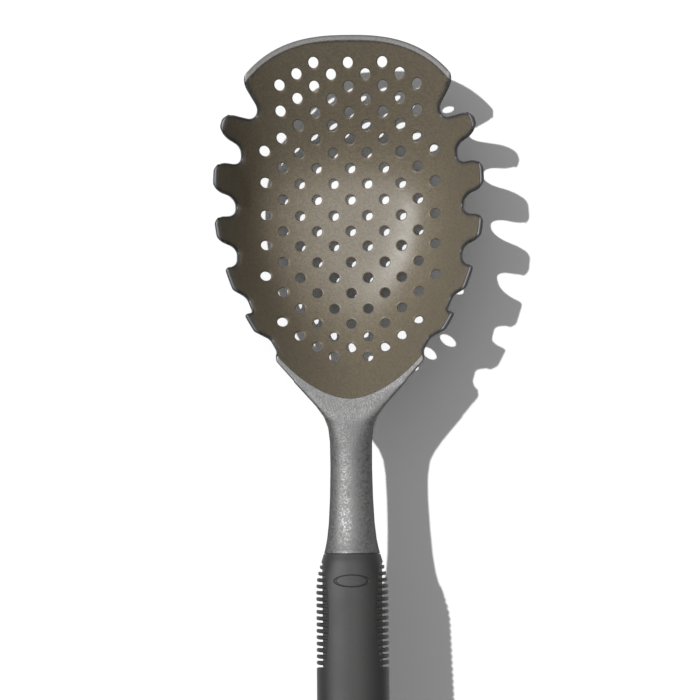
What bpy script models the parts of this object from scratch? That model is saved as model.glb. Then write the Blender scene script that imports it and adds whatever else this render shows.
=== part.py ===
"""Pasta scoop: one moulded bowl with teeth, drain holes and neck, on a soft finned grip.

Lengths are in metres. The scoop is drawn in a design frame: +X to its right, +Y towards
the lip, z = 0 on the flat rim, with the widest station of the bowl at y = 0. The empty
"rest_pose" then tips that frame until the stand flat under the bowl and the underside
of the grip's end lie on one level, and puts a solid spot of the stand flat at the origin.
"""
import math

import bmesh
import bpy
from mathutils import Matrix, Vector

# Bowl: the cavity's mouth in plan, a superellipse with its own reach and power each way
MOUTH_HALF_WIDTH = 0.0567
MOUTH_LIP_REACH = 0.0698
MOUTH_NECK_REACH = 0.0856
LIP_POWER = 2.55
NECK_POWER = 1.75
# Bowl: depth, wall and the slopes of the three walls where they meet the rim. The walls are
# carried past the rim, and cut level with it as far along the neck as RIM_CUT_SHARE
BOWL_DEPTH = 0.047
WALL = 0.0020
LIP_SLOPE = math.radians(46.0)
SIDE_SLOPE = math.radians(69.0)
NECK_SLOPE = math.radians(57.0)
RIM_OVERSHOOT = 0.0030
RIM_CUT_SHARE = 0.67

# Gaps between the teeth, right side: across in shares of MOUTH_HALF_WIDTH, along in shares
# of the mouth's reach on that side. Each row: where the upper and the lower edge meet the
# rim, then the inner corners (across, along), then the radii in multiples of TOOTH_CORNER
TOOTH_CORNER = 0.0040
TOOTH_GAPS = (
    (0.7802, 0.5560, ((0.6395, 0.5371),), (1.12, 1.00, 1.20)),
    (0.3872, 0.2591, ((0.8384, 0.3814), (0.8384, 0.2620)), (1.20, 0.95, 0.95, 1.25)),
    (0.0582, -0.0619, ((0.8828, 0.0568), (0.8828, -0.0607)), (1.25, 1.05, 1.05, 1.25)),
    (-0.2196, -0.3341, ((0.8703, -0.2138), (0.8703, -0.3213)), (1.25, 1.05, 1.05, 0.45)),
    (-0.4463, -0.5701, ((0.7922, -0.4790), (0.7442, -0.5596)), (0.85, 1.25, 0.30, 0.32)),
    (-0.6565, -0.8061, ((0.6146, -0.6939), (0.5631, -0.7547)), (0.85, 1.00, 1.00, 0.75)),
)

# Drain holes: staggered rows that follow the bowl from the lip wall to the neck wall,
# the first and the last row in shares of the mouth's reach
HOLE_DIAMETER = 0.0045
HOLE_PITCH = 0.0150
HOLE_ROWS = 22
FIRST_ROW = 0.8748
LAST_ROW = -0.7699
HOLE_EDGE_MARGIN = 0.0120
HOLE_GAP_MARGIN = 0.0055

# Neck: stations in shares of NECK_LENGTH, each the distance behind the mouth, the half
# width, then z of the top, the widest level and the underside
NECK_LENGTH = 0.0663
NECK_STATIONS = (
    (-0.3861, 0.5204, 0.0060, -0.0090, -0.3017),
    (-0.2956, 0.4872, 0.0060, -0.0090, -0.3544),
    (-0.2202, 0.4540, 0.0060, -0.0121, -0.3620),
    (-0.1297, 0.3831, 0.0045, -0.0181, -0.3167),
    (-0.0392, 0.3017, 0.0015, -0.0302, -0.2640),
    (0.0452, 0.2262, -0.0030, -0.0468, -0.2202),
    (0.1161, 0.1750, -0.0060, -0.0603, -0.1916),
    (0.1870, 0.1478, -0.0075, -0.0694, -0.1719),
    (0.2775, 0.1373, -0.0075, -0.0754, -0.1599),
    (0.4434, 0.1357, -0.0075, -0.0784, -0.1554),
    (0.6395, 0.1403, -0.0060, -0.0799, -0.1584),
    (0.8054, 0.1493, 0.0000, -0.0814, -0.1659),
    (0.9110, 0.1614, 0.0121, -0.0830, -0.1810),
    (0.9713, 0.1735, 0.0271, -0.0830, -0.1961),
    (1.0000, 0.1825, 0.0392, -0.0830, -0.2081),
)
NECK_SIDES = 32
TANG_WIDTH = 0.0140
TANG_THICKNESS = 0.0050
TANG_LENGTH = 0.0550
TANG_OVERLAP = 0.0030

# Grip: stations, each the distance behind its start, half width and half thickness, in
# shares of the three lengths
GRIP_LENGTH = 0.1190
GRIP_HALF_WIDTH = 0.0155
GRIP_HALF_THICKNESS = 0.0106
GRIP_STATIONS = (
    (0.0000, 0.7806, 0.7925),
    (0.0134, 0.8387, 0.8491),
    (0.0319, 0.8968, 0.9057),
    (0.0571, 0.9419, 0.9434),
    (0.0992, 0.9742, 0.9717),
    (0.1664, 0.9935, 0.9906),
    (0.2840, 1.0000, 1.0000),
    (0.4521, 1.0000, 1.0000),
    (0.6034, 1.0065, 1.0000),
    (0.7546, 1.0194, 1.0000),
    (0.8555, 1.0129, 0.9906),
    (0.9227, 0.9613, 0.9528),
    (0.9647, 0.8645, 0.8585),
    (0.9882, 0.7161, 0.6981),
    (1.0000, 0.4903, 0.4528),
)
GRIP_POWER = 2.5
GRIP_SIDES = 40
# Fins: thin ribs left standing between side pockets that end on a narrower inner oval
FIN_COUNT = 16
FIN_PITCH = 0.00273
FIN_THICKNESS = 0.00135
FIRST_FIN_REACH = 0.0060
POCKET_DEPTH = 0.0026
POCKET_REACH_MIDDLE = 0.0102
POCKET_REACH_END = 0.0122
# Plain oval recess on the top face, its middle behind the grip's start
RECESS_REACH = 0.0118
RECESS_LENGTH = 0.0156
RECESS_WIDTH = 0.0055
RECESS_DEPTH = 0.0004
# Hang hole, a slot with round ends, its middle before the grip's end
HANG_HOLE_REACH = 0.0142
HANG_HOLE_LENGTH = 0.0130
HANG_HOLE_WIDTH = 0.0080
EYE_WALL = 0.0018

# Core inside the grip
CORE_HALF_WIDTH = 0.0106
CORE_HALF_THICKNESS = 0.0060
CORE_POWER = 3.0
CORE_SIDES = 24

# Fits, the stand, and how far a cutter runs past what it cuts
JOINT_CLEARANCE = 0.0003
STAND_CUT = 0.0006
CUT_MARGIN = 0.0120
RIM_STEP = 0.0005

# Mesh fineness
BOWL_SIDES = 60
BOWL_RINGS = 10
HOLE_SIDES = 8
EYE_STEPS = 8
POCKET_STEPS = 14
POCKET_SWEEP = math.radians(124.0)
CORNER_STEPS = 4
PROFILE_STEPS = 400
RECESS_SIDES = 32
SHARP_ANGLE = math.radians(35.0)
MOST_TILT = math.radians(30.0)

# Finishes: colour and roughness
NYLON = (0.115, 0.108, 0.098), 0.38
GRIP_RUBBER = (0.062, 0.061, 0.058), 0.62
CORE_PLASTIC = (0.030, 0.030, 0.031), 0.55

# Places that follow from the sizes above
NECK_END_Y = -MOUTH_NECK_REACH - NECK_LENGTH
GRIP_AXIS_Z = NECK_STATIONS[-1][3] * NECK_LENGTH
GRIP_START_Y = NECK_END_Y - JOINT_CLEARANCE
GRIP_END_Y = GRIP_START_Y - GRIP_LENGTH
FIRST_FIN_Y = GRIP_START_Y - FIRST_FIN_REACH
RECESS_Y = GRIP_START_Y - RECESS_REACH
HANG_HOLE_Y = GRIP_END_Y + HANG_HOLE_REACH


def clear_scene():
    """Remove whatever the opened file holds."""
    for item in list(bpy.data.objects):
        bpy.data.objects.remove(item, do_unlink=True)


def make_collection(name):
    """Make a collection and link it to the scene."""
    group = bpy.data.collections.new(name)
    bpy.context.scene.collection.children.link(group)
    return group


def make_material(name, colour, roughness):
    """Make a plain Principled material."""
    material = bpy.data.materials.new(name)
    material.use_nodes = True
    shader = material.node_tree.nodes["Principled BSDF"]
    shader.inputs["Base Color"].default_value = (*colour, 1.0)
    shader.inputs["Roughness"].default_value = roughness
    shader.inputs["Metallic"].default_value = 0.0
    return material


def finish_object(name, shape, group, parent, material=None):
    """Turn a bmesh into a named object, closed solids with their faces outward."""
    if not any(edge.is_boundary for edge in shape.edges):
        bmesh.ops.recalc_face_normals(shape, faces=shape.faces)
    mesh = bpy.data.meshes.new(name)
    shape.to_mesh(mesh)
    shape.free()
    item = bpy.data.objects.new(name, mesh)
    group.objects.link(item)
    item.parent = parent
    if material is None:
        item.hide_render = True
        item.display_type = "WIRE"
    else:
        mesh.materials.append(material)
        mesh.shade_smooth()
        mesh.set_sharp_from_angle(angle=SHARP_ANGLE)
    return item


def add_boolean(target, tool, operation):
    """Join a solid to the target, or cut it away."""
    modifier = target.modifiers.new(tool.name, "BOOLEAN")
    modifier.operation = operation
    modifier.solver = "EXACT"
    modifier.object = tool


def signed_power(value, power):
    """Raise the size of a value to a power and keep its sign."""
    return math.copysign(abs(value) ** power, value)


def loft(rings, close_start=True, close_end=True):
    """Skin a list of rings with the same number of points, and cap the ends."""
    shape = bmesh.new()
    rows = [[shape.verts.new(point) for point in ring] for ring in rings]
    count = len(rows[0])
    for near, far in zip(rows, rows[1:]):
        for i in range(count):
            j = (i + 1) % count
            shape.faces.new((near[i], near[j], far[j], far[i]))
    if close_start:
        shape.faces.new(rows[0])
    if close_end:
        shape.faces.new(rows[-1])
    return shape


def prism(outline, low, high):
    """Stand a plan outline up between two heights."""
    return loft([[(x, y, z) for x, y in outline] for z in (low, high)])


def block(near_y, far_y, middle_z, half_width, half_height):
    """Block between two stations, centred across the scoop."""
    outline = [(-half_width, near_y), (half_width, near_y), (half_width, far_y), (-half_width, far_y)]
    return prism(outline, middle_z - half_height, middle_z + half_height)


def join_mesh(shape, piece):
    """Add one bmesh to another and free it."""
    mesh = bpy.data.meshes.new("piece")
    piece.to_mesh(mesh)
    piece.free()
    shape.from_mesh(mesh)
    bpy.data.meshes.remove(mesh)


def mirror_in_x(shape):
    """Add the left hand copy of a right hand solid."""
    copy = bmesh.ops.duplicate(shape, geom=shape.verts[:] + shape.edges[:] + shape.faces[:])
    verts = [part for part in copy["geom"] if isinstance(part, bmesh.types.BMVert)]
    bmesh.ops.scale(shape, vec=(-1.0, 1.0, 1.0), verts=verts)


def wall_reach(step, mouth, slope):
    """Reach of a wall from the middle of the bowl at one step from floor (0) to rim (1).

    The profile is a cubic whose two handles meet where the sloped wall would cross the
    floor, so it leaves the middle level and arrives at the rim on the wall's slope.
    """
    corner = mouth - BOWL_DEPTH / math.tan(slope)
    return 3.0 * corner * step * (1.0 - step) + mouth * step ** 3


def wall_height(step):
    """Height of the same profile under the rim."""
    return -BOWL_DEPTH * (1.0 - step ** 3)


def bowl_point(step, angle):
    """Point of the bowl's inner surface at one step and one angle in plan."""
    across = math.cos(angle)
    along = math.sin(angle)
    lip_side = along >= 0.0
    mouth = MOUTH_LIP_REACH if lip_side else MOUTH_NECK_REACH
    slope = LIP_SLOPE if lip_side else NECK_SLOPE
    rim_power = LIP_POWER if lip_side else NECK_POWER
    power = 2.0 + (rim_power - 2.0) * min(step, 1.0)
    x = wall_reach(step, MOUTH_HALF_WIDTH, SIDE_SLOPE) * signed_power(across, 2.0 / power)
    y = wall_reach(step, mouth, slope) * signed_power(along, 2.0 / power)
    return Vector((x, y, wall_height(step)))


def bowl_surface(offset):
    """Open surface of the bowl, moved outwards by an offset and carried past the rim."""
    top_step = (1.0 + RIM_OVERSHOOT / BOWL_DEPTH) ** (1.0 / 3.0)
    steps = [i / BOWL_RINGS for i in range(1, BOWL_RINGS + 1)] + [top_step]
    angles = [2.0 * math.pi * i / BOWL_SIDES for i in range(BOWL_SIDES)]
    shape = loft([[bowl_point(s, a) for a in angles] for s in steps], True, False)
    floor = max(shape.faces, key=lambda face: len(face.verts))
    bmesh.ops.recalc_face_normals(shape, faces=shape.faces)
    if floor.normal.z > 0.0:
        bmesh.ops.reverse_faces(shape, faces=shape.faces)
    shape.normal_update()
    moved = [vert.co + vert.normal * offset for vert in shape.verts]
    for vert, place in zip(shape.verts, moved):
        vert.co = place
    return shape


def rim_half_width(y):
    """Half width of the rim's outer edge at a station along the bowl."""
    lip_side = y >= 0.0
    slope = LIP_SLOPE if lip_side else NECK_SLOPE
    mouth = MOUTH_LIP_REACH if lip_side else MOUTH_NECK_REACH
    power = LIP_POWER if lip_side else NECK_POWER
    reach = mouth + WALL / math.sin(slope)
    half_width = MOUTH_HALF_WIDTH + WALL / math.sin(SIDE_SLOPE)
    return half_width * (1.0 - (abs(y) / reach) ** power) ** (1.0 / power)


def rounded(corners):
    """Outline through (x, y, radius) corners, with each corner turned into an arc."""
    outline = []
    for i, (x, y, radius) in enumerate(corners):
        here = Vector((x, y))
        if radius <= 0.0:
            outline.append(here)
            continue
        before = (Vector(corners[i - 1][:2]) - here).normalized()
        after = (Vector(corners[(i + 1) % len(corners)][:2]) - here).normalized()
        half_angle = before.angle(after) / 2.0
        centre = here + (before + after).normalized() * (radius / math.sin(half_angle))
        reach = radius / math.tan(half_angle)
        start = here + before * reach - centre
        sweep = math.pi - 2.0 * half_angle
        turn = sweep if start.cross(here + after * reach - centre) > 0.0 else -sweep
        for k in range(CORNER_STEPS + 1):
            arm = start.copy()
            arm.rotate(Matrix.Rotation(turn * k / CORNER_STEPS, 2))
            outline.append(centre + arm)
    return outline


def along_bowl(share):
    """Design y at a share of the mouth's reach, lip side positive."""
    return share * (MOUTH_LIP_REACH if share >= 0.0 else MOUTH_NECK_REACH)


def rim_point(y):
    """Plan point on the rim's outer edge, right side."""
    return Vector((rim_half_width(y), y))


def tooth_gap_outline(gap):
    """Plan outline of the cutter that opens one gap and rounds the teeth beside it."""
    upper_share, lower_share, inner, multiples = gap
    radii = [TOOTH_CORNER * multiple for multiple in multiples]
    upper = rim_point(along_bowl(upper_share))
    lower = rim_point(along_bowl(lower_share))
    upper_run = rim_point(upper.y + RIM_STEP) - upper
    lower_run = rim_point(lower.y - RIM_STEP) - lower
    upper_far = upper + upper_run.normalized() * CUT_MARGIN
    lower_far = lower + lower_run.normalized() * CUT_MARGIN
    corners = [(*upper_far, 0.0), (*upper, radii[0])]
    for (across, along), radius in zip(inner, radii[1:-1]):
        corners.append((across * MOUTH_HALF_WIDTH, along_bowl(along), radius))
    corners += [(*lower, radii[-1]), (*lower_far, 0.0)]
    outside = max(upper_far.x, lower_far.x) + CUT_MARGIN
    corners += [(outside, lower_far.y, 0.0), (outside, upper_far.y, 0.0)]
    return rounded(corners)


def profile_along(count):
    """Points (y, z) of the inner surface in the plane of symmetry, lip to neck."""
    lip = [bowl_point(i / count, math.pi / 2.0) for i in range(count, 0, -1)]
    neck = [bowl_point(i / count, -math.pi / 2.0) for i in range(count + 1)]
    return [(point.y, point.z) for point in lip + neck]


def drain_rows():
    """Stations y of the drain rows, evenly spaced along the bowl's own surface."""
    first_y, last_y = along_bowl(FIRST_ROW), along_bowl(LAST_ROW)
    points = [p for p in profile_along(PROFILE_STEPS) if last_y <= p[0] <= first_y]
    length = [0.0]
    for (y0, z0), (y1, z1) in zip(points, points[1:]):
        length.append(length[-1] + math.hypot(y1 - y0, z1 - z0))
    rows = []
    for row in range(HOLE_ROWS):
        wanted = length[-1] * row / (HOLE_ROWS - 1)
        nearest = min(range(len(length)), key=lambda i: abs(length[i] - wanted))
        rows.append(points[nearest][0])
    return rows


def drain_places():
    """Plan places of all drain holes: staggered rows, clear of the rim and the gaps."""
    places = []
    for row, y in enumerate(drain_rows()):
        limit = rim_half_width(y) - WALL - HOLE_EDGE_MARGIN
        for upper_share, lower_share, inner, _ in TOOTH_GAPS:
            upper_y = along_bowl(upper_share) + HOLE_GAP_MARGIN
            lower_y = along_bowl(lower_share) - HOLE_GAP_MARGIN
            if lower_y < y < upper_y:
                innermost = MOUTH_HALF_WIDTH * min(across for across, _ in inner)
                limit = min(limit, innermost - HOLE_GAP_MARGIN)
        shift = 0.5 * HOLE_PITCH if row % 2 else 0.0
        reach = int(MOUTH_HALF_WIDTH // HOLE_PITCH) + 1
        for column in range(-reach, reach + 1):
            x = column * HOLE_PITCH + shift
            if abs(x) <= limit:
                places.append((x, y))
    return places


def neck_ring(station):
    """Section of the neck: a low crown above the widest level and a belly below."""
    behind, half_width, top, widest, underside = (share * NECK_LENGTH for share in station)
    y = -MOUTH_NECK_REACH - behind
    ring = []
    for i in range(NECK_SIDES):
        angle = 2.0 * math.pi * i / NECK_SIDES
        rise = math.sin(angle)
        height = (top - widest) * rise if rise > 0.0 else (widest - underside) * rise
        ring.append((half_width * math.cos(angle), y, widest + height))
    return ring


def oval_ring(y, half_width, half_height, power, sides):
    """Superellipse section square to the handle."""
    ring = []
    for i in range(sides):
        angle = 2.0 * math.pi * i / sides
        x = half_width * signed_power(math.cos(angle), 2.0 / power)
        z = half_height * signed_power(math.sin(angle), 2.0 / power)
        ring.append((x, y, GRIP_AXIS_Z + z))
    return ring


def grip_stations():
    """Stations of the grip in metres: y, half width and half thickness."""
    return [
        (GRIP_START_Y - behind * GRIP_LENGTH, GRIP_HALF_WIDTH * wide, GRIP_HALF_THICKNESS * thick)
        for behind, wide, thick in GRIP_STATIONS
    ]


def through_grip(outline):
    """Stand a plan outline up right through the grip."""
    reach = GRIP_HALF_THICKNESS + CUT_MARGIN
    return prism(outline, GRIP_AXIS_Z - reach, GRIP_AXIS_Z + reach)


def slot_outline(length, width, y, steps):
    """Slot with round ends, long side across the handle."""
    radius = width / 2.0
    straight = length / 2.0 - radius
    outline = []
    for side in (1.0, -1.0):
        for i in range(steps + 1):
            angle = side * math.pi / 2.0 - math.pi * i / steps
            x = straight * side + radius * math.cos(angle)
            outline.append((x, y + radius * math.sin(angle)))
    return outline


def height_at(point, tilt):
    """Height that a (y, z) point of the design frame has once the frame is tilted."""
    return point[0] * math.sin(tilt) + point[1] * math.cos(tilt)


def rest_level():
    """Tilt of the design frame at rest, the level it rests on and the stand flat's middle y.

    The tilt is the one at which the stand flat, STAND_CUT into the bowl's underside,
    and the lowest point of the grip come to the same height.
    """
    bowl = []
    profile = profile_along(PROFILE_STEPS)
    for (y0, z0), (y1, z1) in zip(profile, profile[1:]):
        run = Vector((y1 - y0, z1 - z0)).normalized()
        bowl.append(Vector(((y0 + y1) / 2.0, (z0 + z1) / 2.0)) + WALL * Vector((-run.y, run.x)))
    grip = [(y, GRIP_AXIS_Z - half_thickness) for y, _, half_thickness in grip_stations()]

    low, high = 0.0, MOST_TILT
    while high - low > 1e-7:
        tilt = (low + high) / 2.0
        level = min(height_at(point, tilt) for point in bowl) + STAND_CUT
        if level > min(height_at(point, tilt) for point in grip):
            high = tilt
        else:
            low = tilt
    flat = [point[0] for point in bowl if height_at(point, tilt) < level]
    return tilt, level, (min(flat) + max(flat)) / 2.0


def web_near(middle_y):
    """Design y of the web between two centre line holes that is nearest a station."""
    centre_rows = drain_rows()[::2]
    webs = [(y0 + y1) / 2.0 for y0, y1 in zip(centre_rows, centre_rows[1:])]
    return min(webs, key=lambda y: abs(y - middle_y))


clear_scene()
parts = make_collection("pasta_scoop")
cutters = make_collection("cutters")
nylon = make_material("nylon", *NYLON)
grip_rubber = make_material("grip_rubber", *GRIP_RUBBER)
core_plastic = make_material("core_plastic", *CORE_PLASTIC)

tilt, stand_height, flat_middle_y = rest_level()
stand_y = web_near(flat_middle_y) / math.cos(tilt) - stand_height * math.tan(tilt)
rest_pose = bpy.data.objects.new("rest_pose", None)
parts.objects.link(rest_pose)
rest_pose.rotation_euler = (tilt, 0.0, 0.0)
rest_pose.location = (0.0, -stand_y, -stand_height)
bpy.context.view_layer.update()


def build_neck():
    """Neck and tang: lofted sections, ended inside the bowl's wall."""
    rings = [neck_ring(station) for station in NECK_STATIONS]
    neck = finish_object("neck_form", loft(rings), cutters, rest_pose)
    inside = bowl_surface(WALL / 2.0)
    rim = [edge for edge in inside.edges if edge.is_boundary]
    bmesh.ops.holes_fill(inside, edges=rim)
    mid_wall = finish_object("mid_wall_form", inside, cutters, rest_pose)
    add_boolean(neck, mid_wall, "DIFFERENCE")
    return neck


def build_tang():
    """Flat tang that runs on from the neck into the grip."""
    half = (TANG_WIDTH / 2.0, TANG_THICKNESS / 2.0)
    shape = block(NECK_END_Y - TANG_LENGTH, NECK_END_Y + TANG_OVERLAP, GRIP_AXIS_Z, *half)
    return finish_object("tang_form", shape, cutters, rest_pose)


def build_scoop_body():
    """Bowl, teeth, drain holes, neck and tang as one moulding."""
    shell = bowl_surface(0.0)
    body = finish_object("scoop_body", shell, parts, rest_pose, nylon)
    wall = body.modifiers.new("wall", "SOLIDIFY")
    wall.thickness = WALL
    wall.offset = 1.0
    wall.use_even_offset = True
    add_boolean(body, build_neck(), "UNION")
    add_boolean(body, build_tang(), "UNION")

    end_y = -MOUTH_NECK_REACH - RIM_CUT_SHARE * NECK_LENGTH
    far_y = MOUTH_LIP_REACH + CUT_MARGIN
    half_width = MOUTH_HALF_WIDTH + CUT_MARGIN
    above = block(end_y, far_y, CUT_MARGIN / 2.0, half_width, CUT_MARGIN / 2.0)
    above_rim = finish_object("above_rim", above, cutters, rest_pose)
    add_boolean(body, above_rim, "DIFFERENCE")

    gaps = bmesh.new()
    for gap in TOOTH_GAPS:
        join_mesh(gaps, prism(tooth_gap_outline(gap), -BOWL_DEPTH - CUT_MARGIN, CUT_MARGIN))
    mirror_in_x(gaps)
    add_boolean(body, finish_object("tooth_gaps", gaps, cutters, rest_pose), "DIFFERENCE")

    holes = bmesh.new()
    for x, y in drain_places():
        place = Matrix.Translation((x, y, -BOWL_DEPTH / 2.0))
        radius = HOLE_DIAMETER / 2.0
        bmesh.ops.create_cone(
            holes, cap_ends=True, segments=HOLE_SIDES, radius1=radius, radius2=radius,
            depth=BOWL_DEPTH + 2.0 * CUT_MARGIN, matrix=place,
        )
    add_boolean(body, finish_object("drain_holes", holes, cutters, rest_pose), "DIFFERENCE")

    below = block(
        -MOUTH_NECK_REACH, MOUTH_LIP_REACH, -CUT_MARGIN / 2.0, MOUTH_HALF_WIDTH, CUT_MARGIN / 2.0
    )
    add_boolean(body, finish_object("stand_plane", below, cutters, None), "DIFFERENCE")
    return body


def core_end():
    """Far end of the core, one wall past the eye."""
    return HANG_HOLE_Y - HANG_HOLE_WIDTH / 2.0 - 2.0 * EYE_WALL


def build_core():
    """Rigid core round the tang, with the eye that carries the hang hole."""
    front_y = GRIP_START_Y - JOINT_CLEARANCE
    end_y = core_end()
    size = (CORE_HALF_WIDTH, CORE_HALF_THICKNESS, CORE_POWER, CORE_SIDES)
    rings = [oval_ring(front_y, *size), oval_ring(end_y, *size)]
    core = finish_object("handle_core", loft(rings), parts, rest_pose, core_plastic)

    pocket_end = NECK_END_Y - TANG_LENGTH - JOINT_CLEARANCE
    half = (TANG_WIDTH / 2.0 + JOINT_CLEARANCE, TANG_THICKNESS / 2.0 + JOINT_CLEARANCE)
    pocket = block(pocket_end, front_y + CUT_MARGIN, GRIP_AXIS_Z, *half)
    add_boolean(core, finish_object("tang_pocket", pocket, cutters, rest_pose), "DIFFERENCE")

    eye = slot_outline(
        HANG_HOLE_LENGTH + 2.0 * EYE_WALL,
        HANG_HOLE_WIDTH + 2.0 * EYE_WALL,
        HANG_HOLE_Y,
        EYE_STEPS,
    )
    eye_cut = finish_object("eye_cut", through_grip(eye), cutters, rest_pose)
    add_boolean(core, eye_cut, "DIFFERENCE")
    return core


def grip_size(y):
    """Half width and half thickness of the grip at a station, read between its sections."""
    stations = grip_stations()
    for (y0, w0, t0), (y1, w1, t1) in zip(stations, stations[1:]):
        if y1 <= y <= y0:
            share = (y0 - y) / (y0 - y1)
            return w0 + (w1 - w0) * share, t0 + (t1 - t0) * share
    raise ValueError("station outside the grip")


def pocket_outline(share):
    """Section of one side pocket, from past the fin tips in to the oval it ends on.

    The oval is as high as it must be to meet the grip's top at the pocket's reach.
    """
    half_width, half_thickness = grip_size(FIRST_FIN_Y - FIN_COUNT * FIN_PITCH / 2.0)
    reach = POCKET_REACH_MIDDLE + (POCKET_REACH_END - POCKET_REACH_MIDDLE) * share ** 2
    inner = half_width - POCKET_DEPTH
    level = half_thickness * (1.0 - (reach / half_width) ** GRIP_POWER) ** (1.0 / GRIP_POWER)
    height = level / (1.0 - (reach / inner) ** GRIP_POWER) ** (1.0 / GRIP_POWER)
    outline = []
    for i in range(POCKET_STEPS + 1):
        angle = POCKET_SWEEP * (i / POCKET_STEPS - 0.5)
        x = inner * signed_power(math.cos(angle), 2.0 / GRIP_POWER)
        z = height * signed_power(math.sin(angle), 2.0 / GRIP_POWER)
        outline.append((x, GRIP_AXIS_Z + z))
    outside = half_width + POCKET_DEPTH
    outline += [(outside, outline[-1][1]), (outside, outline[0][1])]
    return outline


def build_fin_pockets():
    """Pockets between the fins on both sides, and one before and after them."""
    gap = FIN_PITCH - FIN_THICKNESS
    pockets = bmesh.new()
    for i in range(FIN_COUNT + 1):
        y = FIRST_FIN_Y - (i - 0.5) * FIN_PITCH
        outline = pocket_outline(2.0 * i / FIN_COUNT - 1.0)
        rings = [[(x, y + side * gap / 2.0, z) for x, z in outline] for side in (1.0, -1.0)]
        join_mesh(pockets, loft(rings))
    mirror_in_x(pockets)
    return finish_object("fin_pockets", pockets, cutters, rest_pose)


def build_recess():
    """Shallow plain oval let into the top face, as deep everywhere as at its middle."""
    outline = []
    for i in range(RECESS_SIDES):
        angle = 2.0 * math.pi * i / RECESS_SIDES
        x = RECESS_LENGTH / 2.0 * math.cos(angle)
        outline.append((x, RECESS_Y + RECESS_WIDTH / 2.0 * math.sin(angle)))
    recess = finish_object("recess", through_grip(outline), cutters, rest_pose)
    rings = []
    for y in (RECESS_Y + RECESS_WIDTH, RECESS_Y, RECESS_Y - RECESS_WIDTH):
        half_width, half_thickness = grip_size(y)
        size = (half_width - RECESS_DEPTH, half_thickness - RECESS_DEPTH)
        rings.append(oval_ring(y, *size, GRIP_POWER, GRIP_SIDES))
    floor = finish_object("recess_floor", loft(rings), cutters, rest_pose)
    add_boolean(recess, floor, "DIFFERENCE")
    return recess


def build_grip():
    """Soft sleeve moulded over the core and through its eye."""
    rings = [oval_ring(*station, GRIP_POWER, GRIP_SIDES) for station in grip_stations()]
    grip = finish_object("grip_sleeve", loft(rings), parts, rest_pose, grip_rubber)

    front_y = GRIP_START_Y + CUT_MARGIN
    end_y = core_end() - JOINT_CLEARANCE
    size = (
        CORE_HALF_WIDTH + JOINT_CLEARANCE,
        CORE_HALF_THICKNESS + JOINT_CLEARANCE,
        CORE_POWER,
        CORE_SIDES,
    )
    space = loft([oval_ring(front_y, *size), oval_ring(end_y, *size)])
    core_space = finish_object("core_space", space, cutters, rest_pose)
    grow = 2.0 * (EYE_WALL - JOINT_CLEARANCE)
    plug = slot_outline(HANG_HOLE_LENGTH + grow, HANG_HOLE_WIDTH + grow, HANG_HOLE_Y, EYE_STEPS)
    eye_plug = finish_object("eye_plug", through_grip(plug), cutters, rest_pose)
    add_boolean(core_space, eye_plug, "DIFFERENCE")
    add_boolean(grip, core_space, "DIFFERENCE")

    add_boolean(grip, build_fin_pockets(), "DIFFERENCE")
    add_boolean(grip, build_recess(), "DIFFERENCE")
    hole = slot_outline(HANG_HOLE_LENGTH, HANG_HOLE_WIDTH, HANG_HOLE_Y, EYE_STEPS)
    hang_hole = finish_object("hang_hole", through_grip(hole), cutters, rest_pose)
    add_boolean(grip, hang_hole, "DIFFERENCE")
    return grip


build_scoop_body()
build_core()
build_grip()
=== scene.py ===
"""Pasta scoop, lying over a white table: the moulded bowl and neck, the core, the soft grip.

Lengths are in metres. Each piece is drawn in the maker's own frame, with +X to the right,
+Y towards the lip and z = 0 on the flat rim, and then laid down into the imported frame.
"""
import math

import bmesh
import bpy
import numpy as np
from mathutils import Matrix, Vector
from mathutils.geometry import delaunay_2d_cdt


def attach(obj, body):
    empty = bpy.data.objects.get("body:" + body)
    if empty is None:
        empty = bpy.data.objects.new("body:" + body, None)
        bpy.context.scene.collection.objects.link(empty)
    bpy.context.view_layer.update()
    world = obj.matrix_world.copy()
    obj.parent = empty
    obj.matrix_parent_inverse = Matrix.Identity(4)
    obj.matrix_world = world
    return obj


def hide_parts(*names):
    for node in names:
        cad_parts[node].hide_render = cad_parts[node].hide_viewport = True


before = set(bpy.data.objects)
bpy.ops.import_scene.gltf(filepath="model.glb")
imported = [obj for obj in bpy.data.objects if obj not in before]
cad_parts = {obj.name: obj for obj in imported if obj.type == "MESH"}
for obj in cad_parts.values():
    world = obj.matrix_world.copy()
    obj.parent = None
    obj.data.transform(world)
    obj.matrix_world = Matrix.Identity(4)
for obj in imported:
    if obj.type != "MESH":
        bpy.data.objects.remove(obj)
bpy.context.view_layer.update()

# How the scoop lies: at rest the rim is tipped up towards the lip until the bowl and the
# end of the grip touch one level, and the origin is on the stand flat under the bowl.
REST_TILT = 0.13928522
REST_SHIFT = Vector((0.0, 0.02273309, 0.05182650))
lay_down = Matrix.Translation(REST_SHIFT) @ Matrix.Rotation(REST_TILT, 4, "X")
scene = bpy.context.scene


# The view: a long lens looks down on the scoop, a little from the handle's side and from
# the right, and the picture's lower edge cuts the grip off.
PIXELS_PER_METRE = 2320.0
PICTURE_WIDTH = 700.0
SENSOR_WIDTH = 36.0
VIEW_TIP = math.radians(3.4)
VIEW_LEAN = math.radians(1.2)
VIEW_ROLL = math.radians(0.590)
VIEW_DISTANCE = 1.60
VIEW_LIMIT = 20.0
VIEW_CENTRE = Vector((0.00003, -0.06465, 0.0))


def put_in_scene(name, data):
    """New object in the scene for a mesh, a lamp or a camera."""
    thing = bpy.data.objects.new(name, data)
    scene.collection.objects.link(thing)
    return thing


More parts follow.
